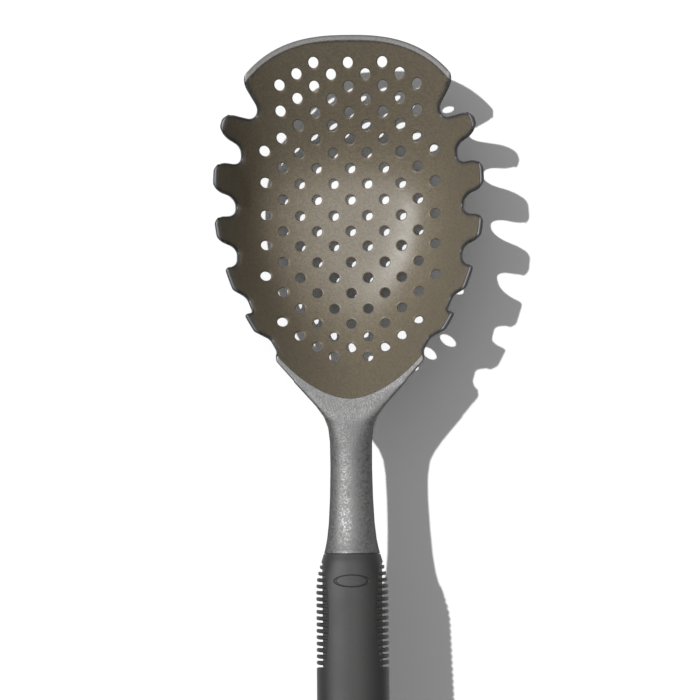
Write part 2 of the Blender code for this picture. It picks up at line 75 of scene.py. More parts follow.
camera_data = bpy.data.cameras.new("camera")
camera_data.sensor_width = SENSOR_WIDTH
camera_data.lens = SENSOR_WIDTH * VIEW_DISTANCE * PIXELS_PER_METRE / PICTURE_WIDTH
camera_data.clip_end = VIEW_LIMIT
camera = put_in_scene("camera", camera_data)
view_turn = Matrix.Rotation(VIEW_TIP, 4, "X") @ Matrix.Rotation(VIEW_LEAN, 4, "Y")
camera.matrix_world = (
    lay_down
    @ Matrix.Translation(VIEW_CENTRE)
    @ view_turn
    @ Matrix.Translation((0.0, 0.0, VIEW_DISTANCE))
    @ Matrix.Rotation(-VIEW_ROLL, 4, "Z")
)
scene.camera = camera


# The table and the light: a white board just under the bowl, which falls away below the
# handle, one hard lamp from the upper left, and a white room that is brightest overhead.
TABLE_TIP = math.radians(5.5)
TABLE_DROP = 0.0502
TABLE_HALF = 0.60
TABLE_WHITE = (0.95, 0.95, 0.95, 1.0)
TABLE_ROUGHNESS = 0.9
LAMP_STRENGTH = 3.0
LAMP_SIZE = math.radians(0.9)
LAMP_LEAN = math.atan(0.54)
LAMP_BEARING = math.radians(142.0)
ROOM_OVERHEAD = 0.53
ROOM_AT_SIDES = 0.02
OVERHEAD_STARTS = 0.30
OVERHEAD_FULL = 0.95


def feed(tree, node, inputs):
    """Link each input that is given a socket, or a list of them, and set the others."""
    for name, value in inputs.items():
        if isinstance(value, (bpy.types.NodeSocket, list)):
            for source in value if isinstance(value, list) else [value]:
                tree.links.new(source, node.inputs[name])
        else:
            node.inputs[name].default_value = value


def add_node(tree, kind, inputs=None, **settings):
    """Outputs of a new node, once its settings are made and its inputs are fed."""
    node = tree.nodes.new(kind)
    for name, value in settings.items():
        setattr(node, name, value)
    feed(tree, node, inputs or {})
    return node.outputs


def ranged(tree, source, low, high, start=0.0, end=1.0, ease="LINEAR"):
    """Number that goes from low to high as another one goes from start to end."""
    return add_node(tree, "ShaderNodeMapRange", {
        "Value": source, "From Min": start, "From Max": end, "To Min": low, "To Max": high,
    }, interpolation_type=ease)["Result"]


def worked_out(tree, operation, *values):
    """Result of one sum with numbers or sockets."""
    return add_node(tree, "ShaderNodeMath", dict(enumerate(values)), operation=operation)["Value"]


def new_material(name):
    """New material, its node tree and its shader."""
    material = bpy.data.materials.new(name)
    material.use_nodes = True
    return material, material.node_tree, material.node_tree.nodes["Principled BSDF"]


table_frame = lay_down @ Matrix.Rotation(TABLE_TIP, 4, "X")
corners = [(-TABLE_HALF, -TABLE_HALF), (TABLE_HALF, -TABLE_HALF)]
corners += [(TABLE_HALF, TABLE_HALF), (-TABLE_HALF, TABLE_HALF)]
corners = [table_frame @ Vector((x, y, -TABLE_DROP)) for x, y in corners]
table_mesh = bpy.data.meshes.new("table")
table_mesh.from_pydata(corners, [], [(0, 1, 2, 3)])
table = put_in_scene("table", table_mesh)
# From below the board is clear, so that the scoop's underside can be looked at
board, tree, shader = new_material("white_board")
feed(tree, shader, {
    "Base Color": TABLE_WHITE, "Roughness": TABLE_ROUGHNESS, "Specular IOR Level": 0.0,
})
either = add_node(tree, "ShaderNodeMixShader", {
    "Fac": add_node(tree, "ShaderNodeNewGeometry")["Backfacing"],
    1: shader.outputs["BSDF"],
    2: add_node(tree, "ShaderNodeBsdfTransparent")["BSDF"],
})
feed(tree, tree.nodes["Material Output"], {"Surface": either["Shader"]})
table_mesh.materials.append(board)

lamp_data = bpy.data.lights.new("lamp", "SUN")
lamp_data.energy = LAMP_STRENGTH
lamp_data.angle = LAMP_SIZE
lamp = put_in_scene("lamp", lamp_data)
towards_lamp = Vector((
    math.sin(LAMP_LEAN) * math.cos(LAMP_BEARING),
    math.sin(LAMP_LEAN) * math.sin(LAMP_BEARING),
    math.cos(LAMP_LEAN),
))
towards_lamp = table_frame.to_3x3() @ towards_lamp
lamp.matrix_world = towards_lamp.to_track_quat("Z", "Y").to_matrix().to_4x4()

# The camera sees the room as plain white; only its light on the scoop comes from overhead
room = bpy.data.worlds.new("white_room")
room.use_nodes = True
scene.world = room
tree = room.node_tree
ray = add_node(tree, "ShaderNodeLightPath")
seen = worked_out(tree, "MAXIMUM", ray["Is Camera Ray"], ray["Is Transmission Ray"])
towards = add_node(tree, "ShaderNodeTexCoord")["Generated"]
upward = add_node(tree, "ShaderNodeSeparateXYZ", {"Vector": towards})["Z"]
overhead = ranged(tree, upward, ROOM_AT_SIDES, ROOM_OVERHEAD,
                  OVERHEAD_STARTS, OVERHEAD_FULL, "SMOOTHSTEP")
level = add_node(tree, "ShaderNodeMix", {"Factor": seen, "A": overhead, "B": 1.0})
feed(tree, tree.nodes["Background"], {
    "Color": (1.0, 1.0, 1.0, 1.0), "Strength": level["Result"],
})
scene.view_settings.view_transform = "Standard"


# The bowl and neck: one moulding in warm dark grey glass-filled nylon. The mould closes
# straight down, so the teeth, the gaps and the drain holes are all cut square to the rim;
# the cavity comes out satin, the flat rim and the neck carry the mould's fine grain.
MOUTH_HALF_WIDTH = 0.0567
MOUTH_LIP_REACH = 0.0698
MOUTH_NECK_REACH = 0.0856
LIP_POWER = 2.55
NECK_POWER = 1.75
BOWL_DEPTH = 0.0470
WALL = 0.0020
LIP_SLOPE = math.radians(46.0)
SIDE_SLOPE = math.radians(69.0)
NECK_SLOPE = math.radians(57.0)
# Gaps between the teeth: where each edge meets the rim, the inner corners, the radii
TOOTH_GAPS = (
    (0.0532, 0.0388, ((0.0363, 0.0372),), (0.0072, 0.0040, 0.0060)),
    (0.0280, 0.0178, ((0.0475, 0.0268), (0.0475, 0.0183)), (0.0068, 0.0038, 0.0038, 0.0062)),
    (0.0045, -0.0053, ((0.0501, 0.0042), (0.0501, -0.0052)), (0.0050, 0.0042, 0.0042, 0.0050)),
    (-0.0179, -0.0286, ((0.0493, -0.0177), (0.0493, -0.0275)), (0.0052, 0.0042, 0.0042, 0.0018)),
    (-0.0382, -0.0488, ((0.0449, -0.0410), (0.0422, -0.0479)), (0.0034, 0.0050, 0.0012, 0.0013)),
    (-0.0562, -0.0690, ((0.0348, -0.0594), (0.0319, -0.0646)), (0.0034, 0.0040, 0.0040, 0.0030)),
)
HOLE_RADIUS = 0.00215
HOLE_SIDES = 28
HOLE_PITCH = 0.0150
# Rows of drain holes: the place of each along the scoop in millimetres, and its holes a side
HOLE_ROWS = (
    61.50, 57.00, 52.30, 47.40, 42.10, 36.80, 31.30, 25.50, 19.05, 12.20, 5.11,
    -2.04, -8.97, -15.63, -22.85, -29.79, -36.70, -43.80, -50.60, -56.70, -61.60, -66.00,
)
HOLES_EACH_SIDE = (1, 2, 2, 2, 2, 2, 2, 3, 2, 3, 2, 3, 2, 3, 2, 3, 2, 2, 2, 2, 1, 1)
# Neck: y, half width, then z of the top, of the widest level and of the underside
NECK_STATIONS = np.array((
    (-0.0600, 0.0345, 0.0004, -0.0006, -0.0200),
    (-0.0660, 0.0323, 0.0004, -0.0006, -0.0235),
    (-0.0710, 0.0301, 0.0004, -0.0008, -0.0240),
    (-0.0770, 0.0254, 0.0003, -0.0012, -0.0210),
    (-0.0830, 0.0200, 0.0000, -0.0020, -0.0175),
    (-0.0886, 0.0150, 0.0000, -0.0031, -0.0146),
    (-0.0933, 0.0116, 0.0000, -0.0040, -0.0127),
    (-0.0980, 0.0098, 0.0000, -0.0046, -0.0114),
    (-0.1040, 0.0091, -0.0001, -0.0050, -0.0106),
    (-0.1150, 0.0090, -0.0003, -0.0052, -0.0103),
    (-0.1280, 0.0093, -0.0004, -0.0053, -0.0105),
    (-0.1390, 0.0099, 0.0000, -0.0054, -0.0110),
    (-0.1460, 0.0107, 0.0008, -0.0055, -0.0120),
    (-0.1500, 0.0115, 0.0018, -0.0055, -0.0130),
    (-0.1522, 0.0121, 0.0026, -0.0055, -0.0138),
))
NECK_END_Y = -0.1522
BOWL_END_Y = -0.0875
NECK_START_Y = -0.0660
NECK_RISES_Y = -0.1300
GAP_ROUNDING = 0.0010
HOLE_ROUNDING = 0.0005
RIM_ROUNDING = 0.0003
MOUTH_ROUNDING = 0.0005
TOOTH_ROUNDING = 0.0011
TIP_ROUNDING = 0.0009
FLARE_ROUNDING = 0.0006
LIP_CORNER_ROUNDING = 0.0011
UNDERSIDE_ROUNDING = 0.8 * GAP_ROUNDING
JOIN_ROUNDING = 0.0005
UNDERSIDE_FILLET = 0.0030
END_ROUNDING = 0.0002
PLAN_END_Y = NECK_END_Y + END_ROUNDING
TANG_HALF_WIDTH = 0.0070
TANG_HALF_THICKNESS = 0.0025
TANG_LENGTH = 0.0550
TANG_POWER = 8.0
SHOULDER_INSET = 0.0005
SHOULDER_LENGTH = 0.0004
GRIP_AXIS_Z = -0.0055
# The rim leans into the bowl, by this slope and over these widths
RIM_DISH = 0.050
SHOULDER_REACH = 0.0104
LIP_RIM_WIDTH = 0.0026
LIP_DISH_BLEND = 0.0040
# How far inside the rim the cut edges take on the gaps' rounding, and the lip's corners'
GAP_EDGE = (0.0002, 0.0012)
LIP_CORNER_EDGE = (0.0002, 0.0020)
# Places along the scoop: a form grows between the first two and, of four, ends at the last
TEETH_SPAN = (-0.0680, -0.0600, 0.0500, 0.0560)
TIPS_SPAN = (-0.0660, -0.0600, 0.0450, 0.0520)
SHOULDER_SPAN = (-0.1150, -0.0960, -0.0700, -0.0620)
FLARE_SPAN = (-0.1000, -0.0900, -0.0640, -0.0600)
EASED_SPAN = (-0.0830, -0.0770, -0.0700, -0.0690)
NECK_TO_EDGE = (-0.0770, -0.0700)
NECK_TO_BOWL = (-0.0970, -0.0880)
STEM_TO_BOWL = (-0.0720, -0.0640)
LIP_DISH_SPAN = (0.0500, 0.0580)
LIP_GRAIN_SPAN = (0.0500, 0.0545)
LIP_CORNER_SPAN = (0.0440, 0.0560)
LIP_END_Y = 0.0600
CROWN_SPAN = (-0.1080, -0.0960, -0.0870)
CROWN_POWERS = (2.0, 3.2, 10.0)


def side_reach(step, mouth, slope):
    """Reach of one wall at a step from the floor (0) to the rim (1), and its change."""
    corner = mouth - BOWL_DEPTH / math.tan(slope)
    reach = 3.0 * corner * step * (1.0 - step) + mouth * step ** 3
    return reach, 3.0 * corner * (1.0 - 2.0 * step) + 3.0 * mouth * step ** 2


def ring_value(step, x, y):
    """How far out a plan point is against the bowl's ring at a step: 1 is on the ring."""
    lip = y >= 0.0
    wide, wide_change = side_reach(step, MOUTH_HALF_WIDTH, SIDE_SLOPE)
    lip_long, lip_change = side_reach(step, MOUTH_LIP_REACH, LIP_SLOPE)
    neck_long, neck_change = side_reach(step, MOUTH_NECK_REACH, NECK_SLOPE)
    long = np.where(lip, lip_long, neck_long)
    long_change = np.where(lip, lip_change, neck_change)
    rim_power = np.where(lip, LIP_POWER, NECK_POWER)
    power = 2.0 + (rim_power - 2.0) * np.minimum(step, 1.0)
    across = np.maximum(np.abs(x) / wide, 1e-9)
    along = np.maximum(np.abs(y) / long, 1e-9)
    across_part, along_part = across ** power, along ** power
    value = across_part + along_part
    grows = np.where(step < 1.0, rim_power - 2.0, 0.0)
    by_step = -power * (across_part * wide_change / wide + along_part * long_change / long)
    by_step += grows * (across_part * np.log(across) + along_part * np.log(along))
    by_x = power * across ** (power - 1.0) / wide * np.sign(x)
    by_y = power * along ** (power - 1.0) / long * np.sign(y)
    return value, by_step, by_x, by_y


def inner_surface(x, y):
    """Height of the cavity over plan points, with its slopes, carried on past the rim."""
    lowest_step, highest_step, halvings = 1e-3, 1.25, 36
    low, high = np.full_like(x, lowest_step), np.full_like(x, highest_step)
    for _ in range(halvings):
        middle = 0.5 * (low + high)
        outside = ring_value(middle, x, y)[0] > 1.0
        low, high = np.where(outside, middle, low), np.where(outside, high, middle)
    step = 0.5 * (low + high)
    _, by_step, by_x, by_y = ring_value(step, x, y)
    rate = 3.0 * BOWL_DEPTH * step ** 2
    height = -BOWL_DEPTH * (1.0 - step ** 3)
    return height, -rate * by_x / by_step, -rate * by_y / by_step


def outer_surface(x, y):
    """Height and slopes of the bowl's outside, one wall away from the cavity."""
    from_x, from_y = x.copy(), y.copy()
    pull, rounds = 0.8, 9
    for _ in range(rounds):
        height, slope_x, slope_y = inner_surface(from_x, from_y)
        length = np.sqrt(1.0 + slope_x ** 2 + slope_y ** 2)
        from_x += pull * (x - (from_x + WALL * slope_x / length))
        from_y += pull * (y - (from_y + WALL * slope_y / length))
    return height - WALL / length, slope_x, slope_y


def outset(slope, radius):
    """How far a sloped wall's rounded top edge stays inside its sharp one."""
    return radius / math.tan(slope / 2.0) - radius


def rim_half_width(y, radius=0.0):
    """Half width of the rim's outer edge at a station along the bowl."""
    slope, mouth, power = (
        (LIP_SLOPE, MOUTH_LIP_REACH, LIP_POWER) if y >= 0.0
        else (NECK_SLOPE, MOUTH_NECK_REACH, NECK_POWER))
    reach = mouth + WALL / math.sin(slope)
    half_width = MOUTH_HALF_WIDTH + WALL / math.sin(SIDE_SLOPE)
    if radius:
        reach -= outset(slope, radius)
        half_width -= outset(SIDE_SLOPE, radius)
    share = min(abs(y) / reach, 1.0)
    return half_width * (1.0 - share ** power) ** (1.0 / power)


def rounded(corners, steps=14):
    """Outline through (x, y, radius) corners, each corner turned into an arc."""
    outline = []
    for i, (x, y, radius) in enumerate(corners):
        here = Vector((x, y))
        if radius <= 0.0:
            outline.append(here)
            continue
        before = (Vector(corners[i - 1][:2]) - here).normalized()
        after = (Vector(corners[(i + 1) % len(corners)][:2]) - here).normalized()
        half_angle = before.angle(after) / 2.0
        centre = here + (before + after).normalized() * (radius / math.sin(half_angle))
        start = here + before * (radius / math.tan(half_angle)) - centre
        end = here + after * (radius / math.tan(half_angle)) - centre
        turn = math.pi - 2.0 * half_angle
        turn = turn if start.cross(end) > 0.0 else -turn
        for k in range(steps + 1):
            arm = start.copy()
            arm.rotate(Matrix.Rotation(turn * k / steps, 2))
            outline.append(centre + arm)
    return outline


def gap_outline(gap):
    """Plan outline of one gap, from past the rim round its inner end and out again."""
    upper_y, lower_y, inner, radii = gap
    far, nudge = 0.012, 0.0005
    heights = (upper_y, upper_y + nudge, lower_y, lower_y - nudge)
    upper, above, lower, below = (Vector((rim_half_width(y), y)) for y in heights)
    upper_run, lower_run = above - upper, below - lower
    corners = [(*(upper + upper_run.normalized() * far), 0.0), (*upper, radii[0])]
    corners += [(x, y, radius) for (x, y), radius in zip(inner, radii[1:-1])]
    corners += [(*lower, radii[-1]), (*(lower + lower_run.normalized() * far), 0.0)]
    outline = rounded(corners)
    outside = max(outline[0].x, outline[-1].x) + far
    return outline, outline + [Vector((outside, outline[-1].y)), Vector((outside, outline[0].y))]


def rise(value, span):
    """0 before a span and 1 past it, or 0 again past a span of four places."""
    return np.interp(value, span, (0.0, 1.0, 1.0, 0.0)[:len(span)])


def fall(value, span):
    """1 before a span and 0 past it."""
    return np.interp(value, span, (1.0, 0.0))


def neck_station(y, column):
    """One column of the neck's stations at any y, read smoothly between them."""
    rows = NECK_STATIONS[::-1]
    return np.interp(y, rows[:, 0], rows[:, column])


def inside_outline(points, outline):
    """Which plan points lie inside a closed outline."""
    inside = np.zeros(len(points), bool)
    x, y = points[:, 0], points[:, 1]
    last = np.roll(outline, 1, axis=0)
    for (x0, y0), (x1, y1) in zip(last, outline):
        if y0 == y1:
            continue
        crosses = (y0 > y) != (y1 > y)
        inside ^= crosses & (x < x0 + (y - y0) * (x1 - x0) / (y1 - y0))
    return inside


def even_steps(path, step):
    """The same open path with its points an even step apart."""
    path = np.asarray(path, float)
    length = np.concatenate(([0.0], np.cumsum(np.hypot(*np.diff(path, axis=0).T))))
    count = max(2, int(round(length[-1] / step)) + 1)
    wanted = np.linspace(0.0, length[-1], count)
    return np.column_stack([np.interp(wanted, length, path[:, k]) for k in (0, 1)])


def scoop_edge():
    """Right half of the scoop's plan edge: lip, teeth, shoulder, then the neck's side."""
    lip_points, side_points, fine_step = 1200, 2400, 0.0001
    lip_top = MOUTH_LIP_REACH + WALL / math.sin(LIP_SLOPE) - outset(LIP_SLOPE, RIM_ROUNDING)
    rim = []
    for k in range(lip_points):
        angle = 0.5 * math.pi * (k / (lip_points - 1.0))
        y = lip_top * math.cos(angle)
        rim.append((rim_half_width(y, RIM_ROUNDING), y))
    for y in np.linspace(0.0, PLAN_END_Y, side_points)[1:]:
        bowl = rim_half_width(y, RIM_ROUNDING) if y > BOWL_END_Y else 0.0
        neck = neck_station(y, 1) if y < NECK_START_Y else 0.0
        both = 0.5 * (bowl + neck + math.hypot(bowl - neck, JOIN_ROUNDING))
        rim.append((both if y < NECK_START_Y else bowl, y))
    rim = np.array(rim)
    window = 81
    eased = np.pad(rim[:, 0], window // 2, "edge")
    eased = np.convolve(eased, np.ones(window) / window, "valid")
    rim[:, 0] += rise(rim[:, 1], EASED_SPAN) * (eased - rim[:, 0])
    past_middle, past_lip = -0.02, 0.08
    base = np.vstack((rim, [(past_middle, PLAN_END_Y), (past_middle, past_lip)]))
    edge = []
    start = 0
    for path, closed in [gap_outline(gap) for gap in TOOTH_GAPS]:
        cut = np.nonzero(inside_outline(rim, np.array(closed)))[0]
        edge += [tuple(point) for point in rim[start:cut[0]]]
        path = even_steps(path, fine_step)
        within = np.nonzero(inside_outline(path, base))[0]
        edge += [tuple(point) for point in path[within[0]:within[-1] + 1]]
        start = cut[-1] + 1
    edge += [tuple(point) for point in rim[start:]]
    edge = even_steps(edge, fine_step)
    smooth = edge.copy()
    reach, spread = 9, 3.5
    kernel = np.exp(-0.5 * (np.arange(-reach, reach + 1) / spread) ** 2)
    kernel /= kernel.sum()
    for k in (0, 1):
        smooth[reach:-reach, k] = np.convolve(edge[:, k], kernel, "valid")
    return smooth


def beside(path, distance):
    """Path moved to its right, into the material, by a distance."""
    run = np.gradient(path, axis=0)
    run /= np.maximum(np.hypot(run[:, 0], run[:, 1]), 1e-12)[:, None]
    return path + distance * np.column_stack((run[:, 1], -run[:, 0]))


def nearest_on(points, path, batch=4000):
    """Distance, direction and place along it of the nearest spot of a path, for points."""
    starts, runs = path[:-1], np.diff(path, axis=0)
    squares = np.maximum((runs ** 2).sum(1), 1e-18)
    found = []
    for first in range(0, len(points), batch):
        part = points[first:first + batch]
        share = ((part[:, None] - starts) * runs).sum(2) / squares
        foot = starts + np.clip(share, 0.0, 1.0)[..., None] * runs
        gap = ((part[:, None] - foot) ** 2).sum(2)
        best = gap.argmin(1)
        rows = np.arange(len(part))
        found.append((np.sqrt(gap[rows, best]), foot[rows, best], best))
    return [np.concatenate(column) for column in zip(*found)]


def cut_edge(height, slope_x, slope_y, distance, into, radius):
    """Heights near a cut edge once it is rounded over, circular across the sloped wall."""
    drop = -(slope_x * into[:, 0] + slope_y * into[:, 1])
    sideways = slope_x * into[:, 1] - slope_y * into[:, 0]
    stretch = np.sqrt(1.0 + sideways ** 2)
    root = np.sqrt(1.0 + (drop / stretch) ** 2)
    reach = radius * (1.0 + drop / stretch / root)
    arc = np.sqrt(np.maximum(radius ** 2 - (distance - radius) ** 2, 0.0))
    turned = height + drop * (distance - radius) + stretch * (arc - radius * root)
    return np.where((distance < reach) & (radius > 0.0), turned, height)


def soft_lower(first, second, reach):
    """The lower of two heights, with the corner between them filled."""
    near = np.maximum(reach - np.abs(first - second), 0.0) / reach
    return np.minimum(first, second) - near ** 2 * reach / 4.0


def new_tree(name, kind, inputs, outputs):
    """New node tree with named inputs and outputs, what it is given and where it ends."""
    tree = bpy.data.node_groups.new(name, kind + "NodeTree")
    for side, sockets in (("INPUT", inputs), ("OUTPUT", outputs)):
        for label, sort in sockets.items():
            tree.interface.new_socket(label, in_out=side, socket_type="NodeSocket" + sort)
    return tree, add_node(tree, "NodeGroupInput"), tree.nodes.new("NodeGroupOutput")


def end_tree(tree, made, shape, material):
    """End a shape's tree: its instances made real, in their material."""
    real = add_node(tree, "GeometryNodeRealizeInstances", {"Geometry": shape})["Geometry"]
    coated = add_node(tree, "GeometryNodeSetMaterial", {"Geometry": real, "Material": material})
    feed(tree, made, {"Geometry": coated["Geometry"]})


def plain_mesh(thing):
    """Mesh of a thing as its modifiers make it."""
    made = thing.evaluated_get(bpy.context.evaluated_depsgraph_get())
    return bpy.data.meshes.new_from_object(made)


def mesh_from_tree(places, tree, sizes):
    """Mesh that a tree with these named sizes makes on points, given as their mesh."""
    points = put_in_scene(tree.name, places)
    modifier = points.modifiers.new(tree.name, "NODES")
    modifier.node_group = tree
    for item in tree.interface.items_tree:
        if item.in_out == "INPUT" and item.name in sizes:
            modifier[item.identifier] = sizes[item.name]
    made = plain_mesh(points)
    bpy.data.objects.remove(points)
    return made


# Drain holes: straight through the bowl in staggered rows that follow its surface. The
# node tree puts one round outline on each hole's place.
hole_places = []
for row, (row_y, count) in enumerate(zip(HOLE_ROWS, HOLES_EACH_SIDE)):
    across = np.arange(count) + 0.5 if row % 2 else np.arange(count + 1.0)
    hole_places += [(x, row_y / 1000.0) for x in (across * HOLE_PITCH).tolist()]
pattern = bpy.data.meshes.new("drain_pattern")
pattern.from_pydata([(x, y, 0.0) for x, y in hole_places], [], [])
nylon, nylon_tree, nylon_shader = new_material("satin_and_grained_nylon")
tree, given, made = new_tree("drain_holes", "Geometry", {
    "Geometry": "Geometry", "Hole Radius": "Float", "Hole Sides": "Int",
}, {"Geometry": "Geometry"})
outline = add_node(tree, "GeometryNodeMeshCircle", {
    "Radius": given["Hole Radius"], "Vertices": given["Hole Sides"],
})
placed = add_node(tree, "GeometryNodeInstanceOnPoints", {
    "Points": given["Geometry"], "Instance": outline["Mesh"],
})
end_tree(tree, made, placed["Instances"], nylon)
drilled = mesh_from_tree(pattern, tree, {"Hole Radius": HOLE_RADIUS, "Hole Sides": HOLE_SIDES})
hole_rings = np.array([vert.co[:2] for vert in drilled.vertices])
hole_rings = hole_rings.reshape(len(hole_places), -1, 2)

# The moulding's mesh: one plan mesh for its right half, with rows of points beside every
# edge, carries the upper and the lower face; walls join them, and the left half mirrors it.
PLAN_STEP = 0.0006
PLAN_GRID = 0.0014
MOUTH_STEP = 0.0008
MOUTH_ANGLES = 140
END_STEP = 0.0011
EDGE_ROWS = (0.00004, 0.00014, 0.00032, 0.00060, 0.00100, 0.00150)
HOLE_ROWS_OUT = (0.00004, 0.00014, 0.00030, 0.00052, 0.00085)
MOUTH_ROWS = (-0.0010, -0.0006, -0.0003, -0.0001, 0.00015, 0.0004, 0.0007, 0.0011)
GRID_FROM_EDGE = 0.0020
GRID_FROM_HOLES = HOLE_RADIUS + HOLE_ROWS_OUT[-1] + 0.0004

edge = even_steps(scoop_edge(), PLAN_STEP)
edge[0, 0] = 0.0
edge[-1, 1] = PLAN_END_Y
points, bonds = [], []


def add_row(row, closed=False):
    """Put a row of plan points into the mesh, tied one to the next."""
    row = [tuple(point) for point in row if point[0] > -1e-9]
    row = [(0.0, round(y, 6)) if x < 1e-7 else (x, y) for x, y in row]
    first = len(points)
    points.extend(row)
    bonds.extend((first + i, first + i + 1) for i in range(len(row) - 1))
    if closed:
        bonds.append((first + len(row) - 1, first))


add_row(edge)
for distance in EDGE_ROWS:
    row = beside(edge, distance)
    row[0, 0] = 0.0
    row = row[row[:, 1] >= PLAN_END_Y]
    row = np.vstack((row, [(row[-1, 0], PLAN_END_Y)])) if row[-1, 1] > PLAN_END_Y + 1e-5 else row
    add_row(row)
end_row = [(x, PLAN_END_Y) for x in np.arange(edge[-1, 0] - 2.0 * END_STEP, 0.0, -END_STEP)]
add_row([tuple(edge[-1])] + end_row + [(0.0, PLAN_END_Y)])

right_edge = np.vstack((edge, [(-0.0001, PLAN_END_Y), (-0.0001, edge[0, 1] + 0.0001)]))
angles = np.linspace(0.0, 0.5 * math.pi, MOUTH_ANGLES)
mouth_ends = ((1.0, MOUTH_LIP_REACH, LIP_POWER), (-1.0, MOUTH_NECK_REACH, NECK_POWER))
for away in MOUTH_ROWS:
    row = []
    for angle in angles:
        for side, mouth, power in mouth_ends:
            x = (MOUTH_HALF_WIDTH + away) * math.cos(angle) ** (2.0 / power)
            row.append((x, side * (mouth + away) * math.sin(angle) ** (2.0 / power)))
    row = np.array(sorted(set(row), key=lambda point: math.atan2(point[1], point[0])))
    row[0, 0], row[-1, 0] = 0.0, 0.0
    row = even_steps(row, MOUTH_STEP)
    clear = inside_outline(row, right_edge)
    clear &= nearest_on(row, edge)[0] > EDGE_ROWS[-1]
    pieces = np.split(np.arange(len(row)), np.nonzero(np.diff(clear.astype(int)))[0] + 1)
    for piece in pieces:
        if clear[piece[0]] and len(piece) > 1:
            add_row(row[piece])
for ring, (x, y) in zip(hole_rings, hole_places):
    centre = np.array((x, y))
    for out in (0.0,) + HOLE_ROWS_OUT:
        loop = centre + (ring - centre) * (1.0 + out / HOLE_RADIUS)
        if x > 0.0:
            add_row(loop, closed=True)
        else:
            loop = loop[loop[:, 0] > -1e-7]
            order = np.argsort(loop[:, 1])
            add_row(np.column_stack((np.maximum(loop[order, 0], 0.0), loop[order, 1])))

grid = []
row_step = PLAN_GRID * math.sqrt(3.0) / 2.0
for i, y in enumerate(np.arange(PLAN_END_Y + row_step, edge[0, 1], row_step)):
    for x in np.arange(0.0 if i % 2 else PLAN_GRID / 2.0, edge[:, 0].max(), PLAN_GRID):
        grid.append((x, y))
grid = np.array(grid)
grid = grid[inside_outline(grid, right_edge)]
grid = grid[nearest_on(grid, edge)[0] > GRID_FROM_EDGE]
for x, y in hole_places:
    grid = grid[np.hypot(grid[:, 0] - x, grid[:, 1] - y) > GRID_FROM_HOLES]
points.extend((x, y) if x > 0.0 else (0.0, round(y, 6)) for x, y in grid)
centre_line = sorted({point[1] for point in points if point[0] == 0.0})
add_row([(0.0, y) for y in centre_line])

found = delaunay_2d_cdt([Vector(p) for p in points], bonds, [], 0, 1e-7)
plan = np.array([tuple(p) for p in found[0]])
tris = np.array([face for face in found[2] if len(face) == 3])
middle = plan[tris].mean(1)
keep = inside_outline(middle, right_edge) & (middle[:, 0] > 0.0)
for x, y in hole_places:
    keep &= np.hypot(middle[:, 0] - x, middle[:, 1] - y) > HOLE_RADIUS * 0.995
tris = tris[keep]

# Lift the plan mesh: the cavity and the rim above, the outside below, as sharp forms
x, y = plan[:, 0].copy(), plan[:, 1].copy()
cavity, cavity_x, cavity_y = inner_surface(x, y)
outside, outside_x, outside_y = outer_surface(x, y)
least_slope = 0.3
steep = np.maximum(np.hypot(cavity_x, cavity_y), least_slope)
from_mouth = cavity / steep
bend = np.arctan(steep)
mouth_radius = MOUTH_ROUNDING + (TOOTH_ROUNDING - MOUTH_ROUNDING) * rise(y, TEETH_SPAN)
tangent = mouth_radius * np.tan(bend / 2.0)
into_cavity = -from_mouth
on_arc = (into_cavity > -tangent) & (into_cavity < tangent * np.cos(bend))
arc = np.sqrt(np.maximum(mouth_radius ** 2 - (into_cavity + tangent) ** 2, 0.0)) - mouth_radius
upper = np.where(cavity < 0.0, cavity, -2.0 * np.maximum(outside, 0.0))
upper = np.where(on_arc, np.minimum(arc, upper), upper)

# The neck: a crown above and a belly below its widest level, which run out into the bowl
side = edge[edge[:, 1] < NECK_TO_EDGE[1] + PLAN_STEP][::-1]
half_width = neck_station(y, 1)
half_width += fall(y, NECK_TO_EDGE) * (np.interp(y, side[:, 1], side[:, 0]) - half_width)
crown_top, widest, underside = neck_station(y, 2), neck_station(y, 3), neck_station(y, 4)
share = np.minimum(np.abs(x) / half_width, 1.0)
power = np.interp(y, CROWN_SPAN, CROWN_POWERS)
crown = widest + (crown_top - widest) * (1.0 - share ** power) ** (1.0 / power)
crown = np.where(y > NECK_RISES_Y, np.minimum(crown, 0.0), crown)
belly = widest - (widest - underside) * np.sqrt(1.0 - share ** 2)
on_neck = (y < NECK_STATIONS[0, 0]) & (np.abs(x) <= half_width + PLAN_STEP)
upper = np.where(on_neck & (cavity > 0.0), np.maximum(upper, crown), upper)
lower = np.where(on_neck, soft_lower(outside, belly, UNDERSIDE_FILLET), outside)
upper += RIM_DISH * np.clip(from_mouth, 0.0, SHOULDER_REACH) * rise(y, SHOULDER_SPAN)
lip_dip = RIM_DISH * (LIP_RIM_WIDTH - np.clip(from_mouth, 0.0, LIP_RIM_WIDTH))
lip_dip *= rise(from_mouth, (-LIP_DISH_BLEND, 0.0)) * rise(y, LIP_DISH_SPAN)
upper -= lip_dip

